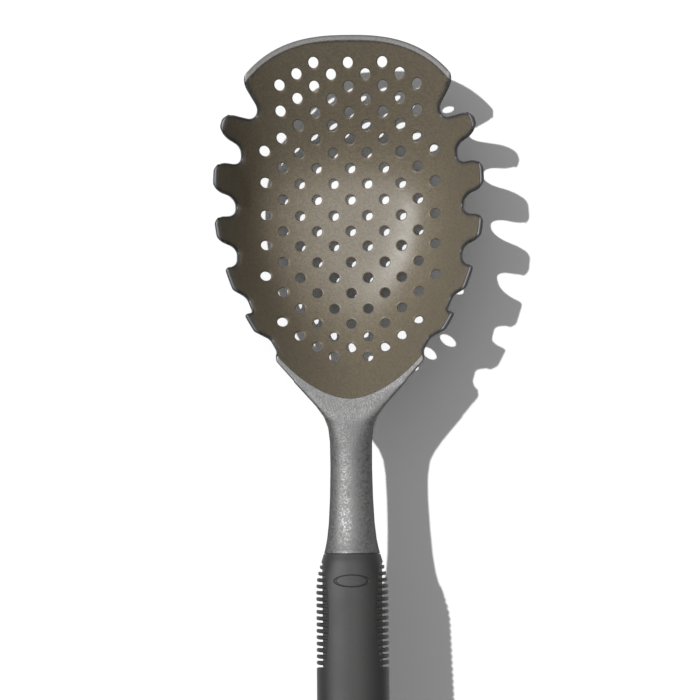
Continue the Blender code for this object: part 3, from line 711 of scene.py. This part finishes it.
# Round over the cut edges: each point's nearest spot on the edge says by how much
distance, spot, which = nearest_on(plan, edge)
spot_y = spot[:, 1]
into = plan - spot
size = np.hypot(into[:, 0], into[:, 1])
runs = np.diff(edge, axis=0)[which]
runs /= np.hypot(runs[:, 0], runs[:, 1])[:, None]
square = np.column_stack((runs[:, 1], -runs[:, 0]))
into = np.where((size > 2e-5)[:, None], into / np.maximum(size, 1e-12)[:, None], square)
off_rim = [rim_half_width(at, RIM_ROUNDING) if at > BOWL_END_Y else 0.0 for at in spot_y]
off_rim = np.array(off_rim) - spot[:, 0]
radius = RIM_ROUNDING + (TIP_ROUNDING - RIM_ROUNDING) * rise(spot_y, TIPS_SPAN)
radius += (GAP_ROUNDING - radius) * rise(off_rim, GAP_EDGE)
radius = np.where(spot_y > LIP_END_Y, RIM_ROUNDING, radius)
beside_lip = rise(spot_y, LIP_CORNER_SPAN) * (spot_y < LIP_END_Y)
radius += (LIP_CORNER_ROUNDING - GAP_ROUNDING) * beside_lip * rise(off_rim, LIP_CORNER_EDGE)
radius = np.where(spot_y < STEM_TO_BOWL[0], FLARE_ROUNDING, radius)
radius = rise(spot_y, NECK_TO_BOWL) * radius
under_radius = np.minimum(radius, UNDERSIDE_ROUNDING)
flat_top = cavity > 0.0
upper_x = np.where(flat_top, 0.0, cavity_x)
upper_y = np.where(flat_top, 0.0, cavity_y)


def round_over(at, gap, into, radius, under_radius):
    """Round over the upper and the lower face beside a cut edge, at some plan points."""
    upper[at] = cut_edge(upper[at], upper_x[at], upper_y[at], gap, into, radius)
    lower[at] = -cut_edge(-lower[at], -outside_x[at], -outside_y[at], gap, into, under_radius)


round_over(slice(None), distance, into, radius, under_radius)
for hole_x, hole_y in hole_places:
    away_x, away_y = x - hole_x, y - hole_y
    away = np.hypot(away_x, away_y)
    near = (away < HOLE_RADIUS + 2.5 * HOLE_ROUNDING) & (away > 0.8 * HOLE_RADIUS)
    into_wall = np.column_stack((away_x[near], away_y[near])) / away[near][:, None]
    gap = np.maximum(away[near] - HOLE_RADIUS, 0.0)
    size = np.full(near.sum(), HOLE_ROUNDING)
    round_over(near, gap, into_wall, size, size)
stand_level = (-REST_SHIFT.z - y * math.sin(REST_TILT)) / math.cos(REST_TILT)
lower = np.maximum(lower, stand_level)
least_wall = 4e-6
crossed = lower > upper - least_wall
halfway = 0.5 * (upper + lower)
upper = np.where(crossed, halfway + 0.5 * least_wall, upper)
lower = np.where(crossed, halfway - 0.5 * least_wall, lower)

count = len(plan)
sides = np.concatenate([tris[:, [0, 1]], tris[:, [1, 2]], tris[:, [2, 0]]])
key = np.sort(sides, axis=1)
_, index, times = np.unique(key, axis=0, return_index=True, return_counts=True)
open_sides = sides[index[times == 1]]
on_middle = (plan[open_sides, 0] < 1e-7).all(1)
at_end = (plan[open_sides, 1] < PLAN_END_Y + 1e-6).all(1)
open_sides = open_sides[~on_middle & ~at_end]
faces = [tuple(face) for face in tris]
faces += [tuple(count + i for i in face[::-1]) for face in tris]
faces += [(b, a, count + a, count + b) for a, b in open_sides]
verts = np.vstack((np.column_stack((x, y, upper)), np.column_stack((x, y, lower))))
total = len(verts)
faces += [tuple(total + i for i in face[::-1]) for face in faces]
verts = np.vstack((verts, verts * np.array((-1.0, 1.0, 1.0))))

# Two masks: grained on the lip's rim and the neck, polished on the teeth's edges and along the cut
# edges, and satin where there is neither. The polished mask also carries painted shade: dark bands
# along the flare's edges, the lip's outer edge and the shoulder before the grip.
TIP_BAND = (0.0011, 0.0017)
# The flare and lip bands below set painted shade: dark bands along the flare's edges and along the
# lip's outer edge
FLARE_BAND = (0.0004, 0.0007)
LIP_BAND = (0.0005, 0.0011)
LIP_BAND_WIDTH = 0.0030
UNDERSIDE_BAND = (0.0002, 0.0006)
CORNER_BAND_SPAN = (0.0400, 0.0560)
CORNER_BAND_WIDTHS = (0.0003, 0.0025)
LIP_BAND_SHARES = (0.9, 0.5)
MOUTH_BAND = (-0.0002, 0.0001)
on_lip = rise(y, LIP_GRAIN_SPAN)
on_stem = fall(y, STEM_TO_BOWL)
past_mouth = rise(from_mouth, MOUTH_BAND)
grained_above = past_mouth * np.maximum(on_lip, on_stem)
at_edge = fall(distance, TIP_BAND) * (1.0 - on_stem)
at_edge = np.where(spot_y > LIP_CORNER_SPAN[1], 0.0, at_edge)
corner_band = np.interp(y, CORNER_BAND_SPAN, CORNER_BAND_WIDTHS) - distance
at_lip_corner = np.clip(corner_band / CORNER_BAND_WIDTHS[0], 0.0, 1.0)
at_lip_corner *= y > CORNER_BAND_SPAN[0]
grained_above = np.maximum(grained_above, at_lip_corner)
polished_and_shade_above = np.maximum(at_edge, past_mouth) * (1.0 - grained_above)
# Painted shade: a dark band along the flare's cut edges and the lip's outer edge, put into the
# polished mask so that it takes the dark polished colour
painted_edge_shade = fall(distance, FLARE_BAND) * rise(y, FLARE_SPAN)
painted_lip_edge_shade = np.interp(distance, LIP_BAND, LIP_BAND_SHARES) * (spot_y > LIP_CORNER_SPAN[1])
painted_edge_shade = np.maximum(painted_edge_shade, painted_lip_edge_shade)
painted_edge_shade *= (spot_y < 0.0) | (distance < LIP_BAND_WIDTH)
polished_and_shade_above = np.maximum(polished_and_shade_above, painted_edge_shade)
grained_above = np.minimum(grained_above, 1.0 - painted_edge_shade)
polished_below = fall(distance, UNDERSIDE_BAND) * (1.0 - on_stem)
masks = {
    "grained": np.concatenate((grained_above, 1.0 - polished_below)),
    "polished": np.concatenate((polished_and_shade_above, polished_below)),
}


def joined_up(mesh, nearest, shortest):
    """Shape of a mesh with its doubled points joined and its slivers dissolved."""
    shape = bmesh.new()
    shape.from_mesh(mesh)
    bmesh.ops.remove_doubles(shape, verts=shape.verts, dist=nearest)
    bmesh.ops.dissolve_degenerate(shape, edges=shape.edges, dist=shortest)
    return shape


mesh = bpy.data.meshes.new("moulding")
mesh.from_pydata(verts.tolist(), [], faces)
for name, values in masks.items():
    mask = mesh.attributes.new(name, "FLOAT", "POINT")
    mask.data.foreach_set("value", np.tile(values, 2).astype(np.float32))
shape = joined_up(mesh, nearest=1e-6, shortest=1e-7)
loose = [vert for vert in shape.verts if not vert.link_faces]
bmesh.ops.delete(shape, geom=loose, context="VERTS")

# The moulding's end: a small rounding, then the flat tang that the core is moulded round
end_loop = {vert for side in shape.edges if side.is_boundary for vert in side.verts}
end_loop = [vert for vert in end_loop if vert.co.y < PLAN_END_Y + 1e-5]
end_loop.sort(key=lambda vert: math.atan2(vert.co.z - GRIP_AXIS_Z, vert.co.x))
end_shape = [Vector((vert.co.x, vert.co.z - GRIP_AXIS_Z)) for vert in end_loop]
tang_shape = []
for point in end_shape:
    way = point.normalized()
    reach = (abs(way.x) / TANG_HALF_WIDTH) ** TANG_POWER
    reach += (abs(way.y) / TANG_HALF_THICKNESS) ** TANG_POWER
    tang_shape.append(way * reach ** (-1.0 / TANG_POWER))
sections = []
for turn in np.linspace(0.0, 0.5 * math.pi, 5)[1:]:
    inset = END_ROUNDING * (1.0 - math.cos(turn))
    y = PLAN_END_Y - END_ROUNDING * math.sin(turn)
    sections.append((y, [p - p.normalized() * inset for p in end_shape]))
shoulder = [p - p.normalized() * SHOULDER_INSET for p in end_shape]
sections += [(NECK_END_Y, shoulder), (NECK_END_Y - SHOULDER_LENGTH, shoulder)]
sections += [(NECK_END_Y - SHOULDER_LENGTH, tang_shape), (NECK_END_Y - TANG_LENGTH, tang_shape)]
grained, polished = (shape.verts.layers.float[name] for name in masks)
last = end_loop
for y, section in sections:
    ring = [shape.verts.new((p.x, y, GRIP_AXIS_Z + p.y)) for p in section]
    for vert in ring:
        # The shoulder rings take the polished mask's dark colour: painted shade in the gap before
        # the grip, where the groove is in shade; the tang behind is covered by the grip
        vert[polished if y <= NECK_END_Y else grained] = 1.0
    for k in range(len(ring)):
        shape.faces.new((last[k - 1], last[k], ring[k], ring[k - 1]))
    last = ring
shape.faces.new(last)
bmesh.ops.recalc_face_normals(shape, faces=shape.faces)


def lay_in_place(shape, mesh, sharp_angle):
    """Put a finished shape into its mesh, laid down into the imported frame."""
    shape.to_mesh(mesh)
    shape.free()
    mesh.transform(lay_down)
    mesh.shade_smooth()
    mesh.set_sharp_from_angle(angle=math.radians(sharp_angle))


lay_in_place(shape, mesh, sharp_angle=50.0)
moulding = put_in_scene("bowl_and_neck", mesh)

# Two effects shared by the nylon and the rubber: the mould's fine grain, with the specks it
# leaves in the colour, and the faint smudges of handling.
SMUDGES_PER_METRE = 75.0
PEBBLE_RANGE = (0.25, 0.75)
SMUDGE_RANGE = (0.32, 0.68)
moulded_grain, given, made = new_tree("moulded_grain", "Shader", {
    "Vector": "Vector", "Grains Per Metre": "Float",
}, {"Height": "Float", "Speck": "Float"})
pebbles = add_node(moulded_grain, "ShaderNodeTexNoise", {
    "Vector": given["Vector"], "Scale": given["Grains Per Metre"],
    "Detail": 1.0, "Roughness": 0.6,
})
specks = add_node(moulded_grain, "ShaderNodeTexVoronoi", {
    "Vector": given["Vector"], "Scale": given["Grains Per Metre"],
}, feature="F1")
tone = add_node(moulded_grain, "ShaderNodeSeparateColor", {"Color": specks["Color"]})
feed(moulded_grain, made, {
    "Height": ranged(moulded_grain, pebbles["Fac"], 0.0, 1.0, *PEBBLE_RANGE, "SMOOTHSTEP"),
    "Speck": tone["Red"],
})

handling, given, made = new_tree("handling", "Shader", {"Vector": "Vector"}, {"Smudge": "Float"})
cloud = add_node(handling, "ShaderNodeTexNoise", {
    "Vector": given["Vector"], "Scale": SMUDGES_PER_METRE, "Detail": 4.0, "Distortion": 0.6,
})
feed(handling, made, {
    "Smudge": ranged(handling, cloud["Fac"], 0.0, 1.0, *SMUDGE_RANGE, "SMOOTHSTEP"),
})

NYLON_GRAINS_PER_METRE = 1650.0
GRAIN_HEIGHT = 0.00003
SATIN_GRAIN = 0.12
SATIN_COLOUR = (0.160, 0.136, 0.097, 1.0)
GRAINED_COLOUR = (0.041, 0.0403, 0.0392, 1.0)
# Dark colour of the polished edges, also used as painted shade on the flare's edges, the lip's
# outer edge and the shoulder
POLISHED_AND_SHADE_COLOUR = (0.045, 0.045, 0.049, 1.0)
DARKEST_SPECK, PALEST_SPECK = 0.30, 1.70
SATIN_SPECKS = 0.25
SATIN_ROUGHNESS, GRAINED_ROUGHNESS, POLISHED_ROUGHNESS = 0.46, 0.57, 0.41
SPECK_ROUGHNESS, SMUDGE_ROUGHNESS = 0.110, 0.02
NYLON_IOR = 1.80
SATIN_SHINE, GRAINED_SHINE, EDGE_ON_SHINE = 0.285, 1.0, 0.12
EDGE_ON_STARTS, EDGE_ON_FULL = 0.15, 0.65


def blended(tree, mask, first, second, kind="RGBA"):
    """First where the mask is 0 and second where it is 1, as colours or numbers."""
    # A Mix node has a set of sockets for each kind: the mask, the two values, the result
    factor, low, high, result = {"RGBA": (0, 6, 7, 2), "FLOAT": (0, 2, 3, 0)}[kind]
    inputs = {factor: mask, low: first, high: second}
    return add_node(tree, "ShaderNodeMix", inputs, data_type=kind)[result]


def moulded_skin(tree, grains_per_metre):
    """The two effects in a material: the grain's height, its specks and the smudges."""
    place = add_node(tree, "ShaderNodeTexCoord")["Object"]
    grain = add_node(tree, "ShaderNodeGroup", {
        "Vector": place, "Grains Per Metre": grains_per_metre,
    }, node_tree=moulded_grain)
    touch = add_node(tree, "ShaderNodeGroup", {"Vector": place}, node_tree=handling)
    return grain["Height"], grain["Speck"], touch["Smudge"]


def raised(tree, height, strength):
    """Surface direction of a grain whose height runs from 0 to 1."""
    return add_node(tree, "ShaderNodeBump", {
        "Height": height, "Strength": strength, "Distance": GRAIN_HEIGHT,
    })["Normal"]


tree = nylon_tree
grained, polished = (
    add_node(tree, "ShaderNodeAttribute", attribute_name=name)["Fac"] for name in masks
)
height, speck, smudge = moulded_skin(tree, NYLON_GRAINS_PER_METRE)
colour = blended(tree, grained, SATIN_COLOUR, GRAINED_COLOUR)
# The polished mask's dark colour: the teeth's polished edges, and painted shade on the flare, the
# lip's outer edge and the shoulder
colour = blended(tree, polished, colour, POLISHED_AND_SHADE_COLOUR)
tone = ranged(tree, speck, DARKEST_SPECK, PALEST_SPECK)
tone = blended(tree, ranged(tree, grained, SATIN_SPECKS, 1.0), 1.0, tone, "FLOAT")
shade = add_node(tree, "ShaderNodeVectorMath", {0: colour, "Scale": tone}, operation="SCALE")
rough = blended(tree, grained, SATIN_ROUGHNESS, GRAINED_ROUGHNESS, "FLOAT")
rough = blended(tree, polished, rough, POLISHED_ROUGHNESS, "FLOAT")
speckled = ranged(tree, speck, -SPECK_ROUGHNESS, SPECK_ROUGHNESS)
smudged = ranged(tree, smudge, -SMUDGE_ROUGHNESS, SMUDGE_ROUGHNESS)
uneven = worked_out(tree, "MULTIPLY_ADD", speckled, grained, smudged)
relief = worked_out(tree, "MULTIPLY", height, ranged(tree, grained, SATIN_GRAIN, 1.0))
edge_on = add_node(tree, "ShaderNodeLayerWeight", {"Blend": 0.5})["Facing"]
dulled = ranged(tree, edge_on, GRAINED_SHINE, EDGE_ON_SHINE,
                EDGE_ON_STARTS, EDGE_ON_FULL, "SMOOTHSTEP")
feed(tree, nylon_shader, {
    "Base Color": shade["Vector"],
    "Roughness": worked_out(tree, "ADD", rough, uneven),
    "IOR": NYLON_IOR,
    "Specular IOR Level": blended(tree, grained, SATIN_SHINE, dulled, "FLOAT"),
    "Normal": raised(tree, relief, 1.0),
})
mesh.materials.append(nylon)
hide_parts("scoop_body")
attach(moulding, "root")


# The handle's core: a bar of rigid black plastic moulded round the tang, with the eye for
# hanging at its far end. The grip covers it all over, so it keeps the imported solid.
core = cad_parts["handle_core"]
CORE_DARK = (0.024, 0.024, 0.025, 1.0)
CORE_PALE = (0.038, 0.038, 0.039, 1.0)
CORE_FLOWS_PER_METRE = 220.0
CORE_FLOW_RANGE = (0.35, 0.70)
CORE_ROUGHNESS = (0.46, 0.62)
core_plastic, tree, shader = new_material("rigid_core_plastic")
flow = add_node(tree, "ShaderNodeTexNoise", {
    "Vector": add_node(tree, "ShaderNodeTexCoord")["Object"],
    "Scale": CORE_FLOWS_PER_METRE, "Detail": 5.0,
})["Fac"]
streak = ranged(tree, flow, 0.0, 1.0, *CORE_FLOW_RANGE)
feed(tree, shader, {
    "Base Color": blended(tree, streak, CORE_DARK, CORE_PALE),
    "Roughness": ranged(tree, flow, *CORE_ROUGHNESS),
})
for slot in core.material_slots:
    slot.material = core_plastic


# The grip: one sleeve of soft matte charcoal rubber, moulded over the core and through its
# eye. Sixteen thin fins stand in a long hollow down each side for the fingers, the top has
# a plain oval let into it, and the slot through the far end takes a hook.
GRIP_STATIONS = np.array((
    (-0.1524, 0.0121, 0.0084), (-0.1538, 0.0127, 0.0090), (-0.1560, 0.0133, 0.0096),
    (-0.1588, 0.0141, 0.0100), (-0.1612, 0.0148, 0.0102), (-0.1640, 0.0153, 0.0103),
    (-0.1668, 0.0156, 0.0104), (-0.1720, 0.0156, 0.0105), (-0.1860, 0.0156, 0.01055),
    (-0.2060, 0.0156, 0.01055), (-0.2240, 0.0156, 0.01055), (-0.2420, 0.0158, 0.01055),
    (-0.2540, 0.0157, 0.01045),
))
GRIP_START_Y = -0.1524
ROUND_END_Y = -0.2540
GRIP_END_Y = -0.2712
ROUND_END_POWERS = (3.2, 3.0)
GRIP_POWER = 2.5
EVEN_REACH = 0.0018
EVEN_PLACES = 13
EVEN_FADE = 1.35
FRONT_ROUNDING = 0.0002
FIN_COUNT = 16
FIN_PITCH = 0.00273
FIN_THICKNESS = 0.0016
FIN_ROUNDING = 0.00062
FIN_HALF_WIDTH = 0.0155
FIN_HALF_HEIGHT = 0.0106
FIN_ROOT = 0.0044
FIN_SET_BACK = 0.00001
FIN_CUP = 0.05
FIN_CUP_LEVEL = 0.0050
FIRST_FIN_Y = -0.1582
HOLLOW_HALF_WIDTH = 0.0129
HOLLOW_REACH_MIDDLE = 0.0102
HOLLOW_REACH_END = 0.0122
HOLLOW_ROUNDING = 0.0005
HOLLOW_START_Y = FIRST_FIN_Y + FIN_PITCH - FIN_THICKNESS / 2.0
HOLLOW_END_Y = FIRST_FIN_Y - FIN_COUNT * FIN_PITCH + FIN_THICKNESS / 2.0
TOP_STEPS, SIDE_STEPS, UNDER_STEPS, FIN_STEPS = 56, 22, 36, 34
COLLAR_RINGS, HOLLOW_RINGS, PLAIN_RINGS, END_RINGS = 7, 66, 60, 22


def grip_size(y):
    """Half width and half thickness of the grip at a station, rounded off at its end."""
    if y < ROUND_END_Y:
        share = min((ROUND_END_Y - y) / (ROUND_END_Y - GRIP_END_Y), 1.0)
        sizes = zip(GRIP_STATIONS[-1, 1:], ROUND_END_POWERS)
        return tuple(size * (1.0 - share ** power) ** (1.0 / power) for size, power in sizes)
    # Averaged over a short stretch, so that the outline has no corner at a station
    rows = GRIP_STATIONS[::-1]
    around = np.linspace(-EVEN_REACH, EVEN_REACH, EVEN_PLACES)
    near = np.clip(y + around, rows[0, 0], rows[-1, 0])
    weight = np.cos(np.linspace(-EVEN_FADE, EVEN_FADE, EVEN_PLACES))
    sizes = [np.interp(near, rows[:, 0], rows[:, column]) for column in (1, 2)]
    return tuple((size * weight).sum() / weight.sum() for size in sizes)


def oval_height(x, wide, thick):
    """Height of the grip's oval section above its axis at a place across it."""
    return thick * (1.0 - (np.abs(x) / wide) ** GRIP_POWER) ** (1.0 / GRIP_POWER)


def oval_side(wide, thick, reach, steps):
    """Right side of an oval section, from its top at a reach down to its underside."""
    start = math.acos((reach / wide) ** (GRIP_POWER / 2.0))
    angle = np.linspace(start, -start, steps + 1)
    x = wide * np.cos(angle) ** (2.0 / GRIP_POWER)
    z = thick * np.sign(angle) * np.abs(np.sin(angle)) ** (2.0 / GRIP_POWER)
    return np.column_stack((x, z))


def hollow_reach(y):
    """How far across the top the side hollows leave the grip whole, at a station."""
    share = 2.0 * (FIRST_FIN_Y + 0.5 * FIN_PITCH - y) / FIN_PITCH / FIN_COUNT - 1.0
    share = min(max(share, -1.0), 1.0)
    return HOLLOW_REACH_MIDDLE + (HOLLOW_REACH_END - HOLLOW_REACH_MIDDLE) * share ** 2


def grip_ring(y, inset=0.0, hollow=False, side_inset=0.0):
    """One section of the sleeve, with the hollow's oval in place of its sides if wanted."""
    wide, thick = grip_size(y)
    wide, thick = max(wide - inset, 1e-5), max(thick - inset, 1e-5)
    nearest = min(max(y, HOLLOW_END_Y), HOLLOW_START_Y)
    reach = hollow_reach(nearest) * wide / grip_size(nearest)[0]
    level = oval_height(reach, wide, thick)
    side_wide = HOLLOW_HALF_WIDTH if hollow else wide - side_inset
    side = (side_wide, level / oval_height(reach, side_wide, 1.0))
    right = oval_side(*side, reach, SIDE_STEPS)
    top = np.linspace(-reach, reach, TOP_STEPS + 1)[:-1]
    under = np.linspace(reach, -reach, UNDER_STEPS + 1)[:-1]
    ring = [(x, oval_height(x, wide, thick)) for x in top]
    ring += [tuple(point) for point in right[:-1]]
    ring += [(x, -oval_height(x, wide, thick)) for x in under]
    ring += [(-x, z) for x, z in right[::-1][:-1]]
    return [(x, y, GRIP_AXIS_Z + z) for x, z in ring]


def closed_loft(rings, name):
    """Closed mesh object through rings of equal count, capped at both ends."""
    sides, ends = len(rings[0]), (len(rings) - 1) * len(rings[0])
    faces = []
    for start in range(0, ends, sides):
        for k in range(sides):
            a, b = start + k, start + (k + 1) % sides
            faces.append((a, b, b + sides, a + sides))
    faces += [tuple(range(sides))[::-1], tuple(range(ends, ends + sides))]
    made = bpy.data.meshes.new(name)
    made.from_pydata([point for ring in rings for point in ring], [], faces)
    shape = bmesh.new()
    shape.from_mesh(made)
    bmesh.ops.recalc_face_normals(shape, faces=shape.faces)
    shape.to_mesh(made)
    shape.free()
    return put_in_scene(name, made)


rings = []
for turn in np.linspace(0.0, 0.5 * math.pi, 5):
    y = GRIP_START_Y - FRONT_ROUNDING * (1.0 - math.cos(turn))
    rings.append(grip_ring(y, FRONT_ROUNDING * (1.0 - math.sin(turn))))
collar_start, collar_end = GRIP_START_Y - FRONT_ROUNDING, HOLLOW_START_Y + HOLLOW_ROUNDING
for y in np.linspace(collar_start, collar_end, COLLAR_RINGS)[1:]:
    rings.append(grip_ring(y))
turns = np.linspace(0.0, 0.5 * math.pi, 6)
for turn in turns[1:]:
    y = HOLLOW_START_Y + HOLLOW_ROUNDING * (1.0 - math.sin(turn))
    rings.append(grip_ring(y, side_inset=HOLLOW_ROUNDING * (1.0 - math.cos(turn))))
for y in np.linspace(HOLLOW_START_Y, HOLLOW_END_Y, HOLLOW_RINGS):
    rings.append(grip_ring(y, hollow=True))
for turn in turns[::-1]:
    y = HOLLOW_END_Y - HOLLOW_ROUNDING * (1.0 - math.sin(turn))
    rings.append(grip_ring(y, side_inset=HOLLOW_ROUNDING * (1.0 - math.cos(turn))))
for y in np.linspace(HOLLOW_END_Y - HOLLOW_ROUNDING, ROUND_END_Y, PLAIN_RINGS)[1:]:
    rings.append(grip_ring(y))
for k in range(1, END_RINGS):
    share = math.sin(0.5 * math.pi * k / END_RINGS) ** (2.0 / ROUND_END_POWERS[0])
    rings.append(grip_ring(ROUND_END_Y - (ROUND_END_Y - GRIP_END_Y) * share))
# The last ring stops just short of the end, where it would shrink to a point
rings.append(grip_ring(GRIP_END_Y + 2e-6))
sleeve_form = closed_loft(rings, "sleeve_form")

# One fin: a thin plate of the grip's own section with its outer edge rounded over
fin_rings = []
turns = [0.5 * math.pi * k / 4 for k in range(5)]
for side, turn in [(1.0, turn) for turn in turns] + [(-1.0, turn) for turn in turns[::-1]]:
    y = side * (FIN_THICKNESS / 2.0 - FIN_ROUNDING * (1.0 - math.cos(turn)))
    inset = FIN_SET_BACK + FIN_ROUNDING * (1.0 - math.sin(turn))
    outline = oval_side(FIN_HALF_WIDTH - inset, FIN_HALF_HEIGHT - inset, FIN_ROOT, FIN_STEPS)
    fin_rings.append([(x, y + FIN_CUP * (FIN_CUP_LEVEL - abs(z)), z) for x, z in outline])
one_fin = closed_loft(fin_rings, "one_fin")
fin_places = bpy.data.meshes.new("fin_places")
fin_places.from_pydata([(0.0, 0.0, GRIP_AXIS_Z)] * (2 * FIN_COUNT), [], [])
fit = fin_places.attributes.new("section_size", "FLOAT_VECTOR", "POINT")
for i in range(2 * FIN_COUNT):
    wide, thick = grip_size(FIRST_FIN_Y - (i % FIN_COUNT) * FIN_PITCH)
    fit.data[i].vector = (wide / FIN_HALF_WIDTH, 1.0, thick / FIN_HALF_HEIGHT)

# The node tree: fins one pitch apart down the right side, then turned over down the left
rubber, rubber_tree, rubber_shader = new_material("matte_grip_rubber")
tree, given, made = new_tree("grip_fins", "Geometry", {
    "Geometry": "Geometry", "Sleeve": "Object", "Fin": "Object",
    "Fins Each Side": "Int", "Fin Pitch": "Float", "First Fin": "Float",
}, {"Geometry": "Geometry"})
number = add_node(tree, "GeometryNodeInputIndex")["Index"]
along = worked_out(tree, "MODULO", number, given["Fins Each Side"])
behind = worked_out(tree, "MULTIPLY", along, given["Fin Pitch"])
station = worked_out(tree, "SUBTRACT", given["First Fin"], behind)
shift = add_node(tree, "ShaderNodeCombineXYZ", {"Y": station})
lined_up = add_node(tree, "GeometryNodeSetPosition", {
    "Geometry": given["Geometry"], "Offset": shift["Vector"],
})
on_left = add_node(tree, "FunctionNodeCompare", data_type="INT", operation="GREATER_EQUAL",
                   inputs={"A": number, "B": given["Fins Each Side"]})
half_turn = worked_out(tree, "MULTIPLY", on_left["Result"], math.pi)
section_size = add_node(tree, "GeometryNodeInputNamedAttribute", {"Name": "section_size"},
                        data_type="FLOAT_VECTOR")
fin = add_node(tree, "GeometryNodeObjectInfo", {"Object": given["Fin"]})
sleeve = add_node(tree, "GeometryNodeObjectInfo", {"Object": given["Sleeve"]})
placed = add_node(tree, "GeometryNodeInstanceOnPoints", {
    "Points": lined_up["Geometry"],
    "Instance": fin["Geometry"],
    "Rotation": add_node(tree, "ShaderNodeCombineXYZ", {"Y": half_turn})["Vector"],
    "Scale": section_size["Attribute"],
})
joined = add_node(tree, "GeometryNodeMeshBoolean", operation="UNION", solver="EXACT",
                  inputs={"Mesh 2": [sleeve["Geometry"], placed["Instances"]]})
end_tree(tree, made, joined["Mesh"], rubber)
grip = put_in_scene("grip_sleeve_and_fins", mesh_from_tree(fin_places, tree, {
    "Sleeve": sleeve_form, "Fin": one_fin,
    "Fins Each Side": FIN_COUNT, "Fin Pitch": FIN_PITCH, "First Fin": FIRST_FIN_Y,
}))

# The plain oval and the hook slot are cut last. Both cutters follow the grip's own surface:
# the oval a shade below it with a deeper line round its edge, the slot flared at both ends.
OVAL_Y = -0.1640
OVAL_HALF_LENGTH = 0.0078
OVAL_HALF_WIDTH = 0.00275
OVAL_SIDES = 96
# From the oval's middle outwards: the share of its size, and how deep it is in millimetres
OVAL_DEPTHS = (
    (0.10, 0.22), (0.45, 0.22), (0.70, 0.22), (0.82, 0.22), (0.875, 0.30), (0.895, 0.42),
    (0.94, 0.46), (0.975, 0.36), (1.0, 0.12), (1.03, -0.10), (1.04, -1.5),
)
SLOT_Y = -0.2570
SLOT_LENGTH = 0.0130
SLOT_WIDTH = 0.0080
SLOT_ROUNDING = 0.0009
SLOT_CLEAR = 0.002
SLOT_SIDES = 64
SLOT_LEVELS = 9
# How fast a point moves over to the slot's other end as it goes round
SLOT_TURN = 2.5


def grip_top(x, y):
    """Height of the grip's top above its axis over a plan point."""
    wide, thick = grip_size(y)
    return float(oval_height(min(abs(x), wide * 0.999), wide, thick))


oval_rings = []
for share, depth in OVAL_DEPTHS:
    ring = []
    for k in range(OVAL_SIDES):
        turn = 2.0 * math.pi * k / OVAL_SIDES
        x = share * OVAL_HALF_LENGTH * math.cos(turn)
        y = OVAL_Y + share * OVAL_HALF_WIDTH * math.sin(turn)
        ring.append((x, y, GRIP_AXIS_Z + grip_top(x, y) - depth / 1000.0))
    oval_rings.append(ring)

# The slot's levels: how far each stands out and how far it lies below the grip's surface, in
# roundings; the first one stands clear of the grip
levels = [(0.9, None)]
turns = np.linspace(0.5 * math.pi, 0.0, SLOT_LEVELS)
levels += [(1.0 - math.cos(turn), 1.0 - math.sin(turn)) for turn in turns]
levels = [(1.0, *level) for level in levels] + [(-1.0, *level) for level in levels[::-1]]
slot_rings = []
for side, out, below in levels:
    ring = []
    for k in range(SLOT_SIDES):
        turn = 2.0 * math.pi * k / SLOT_SIDES
        end = SLOT_LENGTH / 2.0 - SLOT_WIDTH / 2.0
        radius = SLOT_WIDTH / 2.0 + SLOT_ROUNDING * out
        x = end * max(min(SLOT_TURN * math.cos(turn), 1.0), -1.0) + radius * math.cos(turn)
        y = SLOT_Y + radius * math.sin(turn)
        if below is None:
            top = grip_top(0.0, SLOT_Y) + SLOT_CLEAR
        else:
            top = grip_top(x, y) - SLOT_ROUNDING * below
        ring.append((x, y, GRIP_AXIS_Z + side * top))
    slot_rings.append(ring)
cutters = [closed_loft(oval_rings, "oval_cut"), closed_loft(slot_rings, "slot_cut")]
for cutter in cutters:
    cut = grip.modifiers.new(cutter.name, "BOOLEAN")
    cut.operation = "DIFFERENCE"
    cut.solver = "EXACT"
    cut.object = cutter
cut_mesh = plain_mesh(grip)
grip.modifiers.clear()
grip.data = cut_mesh
for helper in cutters + [one_fin, sleeve_form]:
    bpy.data.objects.remove(helper)
shape = joined_up(cut_mesh, nearest=2e-6, shortest=1e-6)
lay_in_place(shape, cut_mesh, sharp_angle=38.0)

RUBBER_GRAINS_PER_METRE = 2600.0
RUBBER_COLOURS = ((0.013, 0.013, 0.0126, 1.0), (0.019, 0.019, 0.0185, 1.0))
SMUDGED_COLOUR = (0.022, 0.0217, 0.021, 1.0)
SMUDGE_STRENGTH = 0.30
RUBBER_ROUGHNESS = (0.56, 0.59)
RUBBER_SHINE = 0.64
RUBBER_RELIEF = 0.7
tree = rubber_tree
height, speck, smudge = moulded_skin(tree, RUBBER_GRAINS_PER_METRE)
clean = blended(tree, speck, *RUBBER_COLOURS)
feed(tree, rubber_shader, {
    "Base Color": blended(tree, ranged(tree, smudge, 0.0, SMUDGE_STRENGTH), clean, SMUDGED_COLOUR),
    "Roughness": ranged(tree, smudge, *RUBBER_ROUGHNESS),
    "Specular IOR Level": RUBBER_SHINE,
    "Normal": raised(tree, height, RUBBER_RELIEF),
})
cut_mesh.materials.clear()
cut_mesh.materials.append(rubber)
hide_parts("grip_sleeve")
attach(grip, "root")
